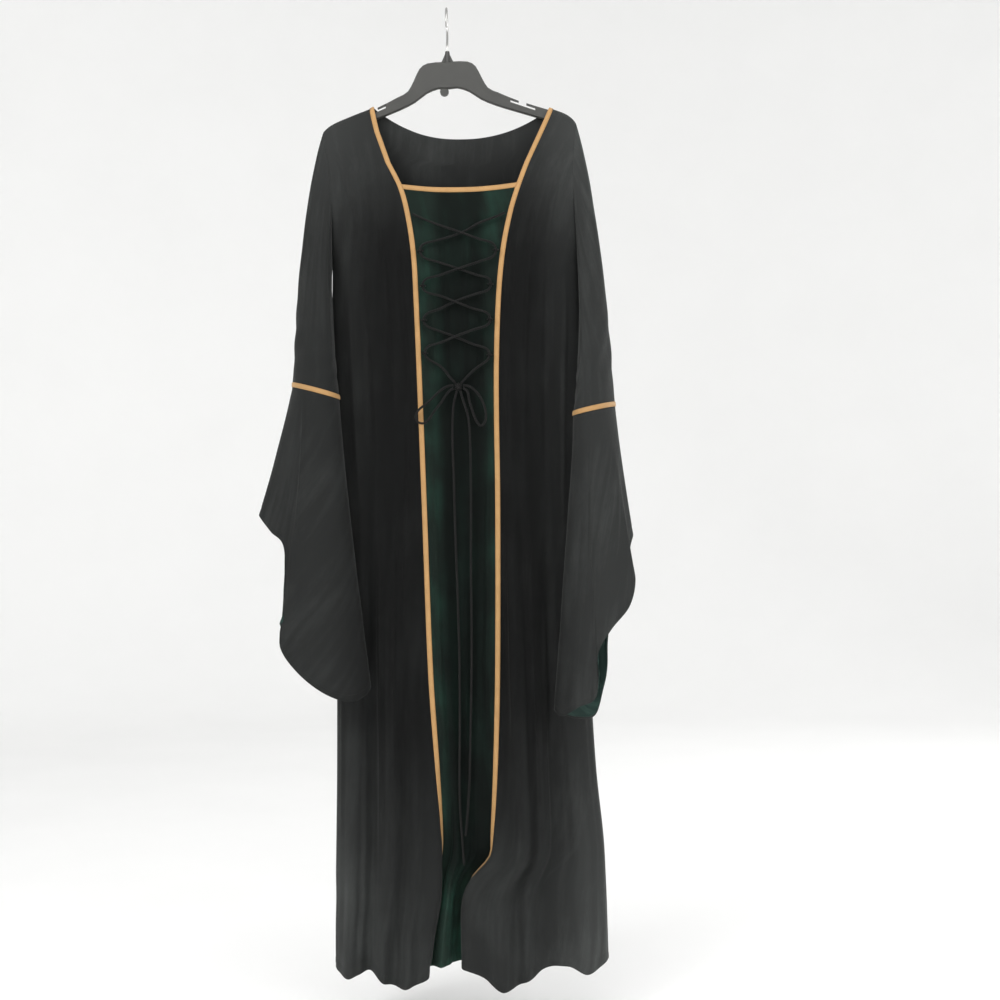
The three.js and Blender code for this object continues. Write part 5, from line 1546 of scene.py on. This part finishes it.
def between(cloth, share, along_rows, lift):
    """A line at a share of the way across a strip: between its columns, or between its rows."""
    grid, facing = cloth.grid, cloth.facing
    if not along_rows:
        grid, facing = grid.swapaxes(0, 1), facing.swapaxes(0, 1)
    spot = share * (grid.shape[0] - 1)
    k = min(int(spot), grid.shape[0] - 2)
    look = unit(mix(facing[k], facing[k + 1], spot - k))
    line = mix(grid[k], grid[k + 1], spot - k) + look * lift
    if cloth.closed and along_rows:
        line, look = np.concatenate([line, line[:1]]), np.concatenate([look, look[:1]])
    return line, look


def above_hem(cloth, up):
    """A line that runs at one distance above a cloth's lower edge."""
    columns = cloth.grid.shape[1]
    line, look = np.empty((columns, 3)), np.empty((columns, 3))
    for j in range(columns):
        far = cloth.v[-1, j] - up
        k = min(int(np.searchsorted(cloth.v[:, j], far)), len(cloth.v) - 1)
        t = (far - cloth.v[k - 1, j]) / (cloth.v[k, j] - cloth.v[k - 1, j])
        line[j] = mix(cloth.grid[k - 1, j], cloth.grid[k, j], t)
        look[j] = mix(cloth.facing[k - 1, j], cloth.facing[k, j], t)
    if cloth.closed:
        line, look = np.concatenate([line, line[:1]]), np.concatenate([look, look[:1]])
    return line, unit(look)


class DRESS_OT_stitching(bpy.types.Operator):
    """Sews the edges of the gold trim, and the hems"""

    bl_idname = "dress.stitching"
    bl_label = "Stitching"

    def execute(self, context):
        sizes = context.scene.dress_sizes
        lift = TRIM_LAY + sizes.trim_thickness * STITCH_LIFT
        on_trim = []
        for share in STITCH_LINES:
            on_trim += [between(strip, share, along_rows, lift) for _, strip, along_rows in trimmed_strips()]
        black = ("front_side_left", "front_side_right", "back")
        hems = [above_hem(cloths()[name], HEM_LINE) for name in black]
        hems += [above_hem(cloths()["sleeve_bell_" + side], BELL_HEM_LINE) for side in SIDES]
        green_hem = [above_hem(cloths()["front_centre"], HEM_LINE)]
        for name, lines, thread, slot in (
            ("trim_stitches", on_trim, "gold thread", "gold_trim"),
            ("hem_stitches", hems, "black thread", "black_velvet"),
            ("green_hem_stitches", green_hem, "black thread", "green_velvet"),
        ):
            stitched(name, lines, sizes.stitch_spacing, finish(thread), slot)
        return {"FINISHED"}


class DRESS_OT_hanger(bpy.types.Operator):
    """Makes the wire hook, and finishes the moulded hanger"""

    bl_idname = "dress.hanger"
    bl_label = "Hanger"

    def execute(self, context):
        path = hook_path()
        made = tube_object("hook_bent_wire", path, rounded_ends(path, HOOK_RADIUS), 16, finish("hook wire"))
        stands_for(made, "hook_wire", "hanger_hook")
        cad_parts["hanger_body"].material_slots[0].material = finish("hanger plastic")
        return {"FINISHED"}


class DRESS_PT_panel(bpy.types.Panel):
    """The dress's sizes, colours and pieces"""

    bl_idname = "DRESS_PT_panel"
    bl_label = "Medieval dress"
    bl_space_type = "VIEW_3D"
    bl_region_type = "UI"
    bl_category = "Dress"

    def draw(self, context):
        for group in (context.scene.dress_sizes, context.scene.dress_colours):
            box = self.layout.box()
            for name in group.bl_rna.properties.keys():
                if name not in ("rna_type", "name"):
                    box.prop(group, name)
        for operator in OPERATORS:
            self.layout.operator(operator.bl_idname)


OPERATORS = (
    DRESS_OT_stage, DRESS_OT_laces, DRESS_OT_knot_and_loops, DRESS_OT_front, DRESS_OT_back, DRESS_OT_sleeves,
    DRESS_OT_trim, DRESS_OT_stitching, DRESS_OT_hanger,
)
CLASSES = (DressSizes, DressColours, *OPERATORS, DRESS_PT_panel)


def register():
    for one in CLASSES:
        bpy.utils.register_class(one)
    bpy.types.Scene.dress_sizes = bpy.props.PointerProperty(type=DressSizes)
    bpy.types.Scene.dress_colours = bpy.props.PointerProperty(type=DressColours)


def unregister():
    del bpy.types.Scene.dress_colours
    del bpy.types.Scene.dress_sizes
    for one in reversed(CLASSES):
        bpy.utils.unregister_class(one)


def main():
    """Makes the whole dress in order."""
    register()
    bpy.ops.dress.stage()
    bpy.ops.dress.laces()
    bpy.ops.dress.knot_and_loops()
    bpy.ops.dress.front()
    bpy.ops.dress.back()
    bpy.ops.dress.sleeves()
    bpy.ops.dress.trim()
    bpy.ops.dress.stitching()
    bpy.ops.dress.hanger()


if __name__ == "__main__":
    main()
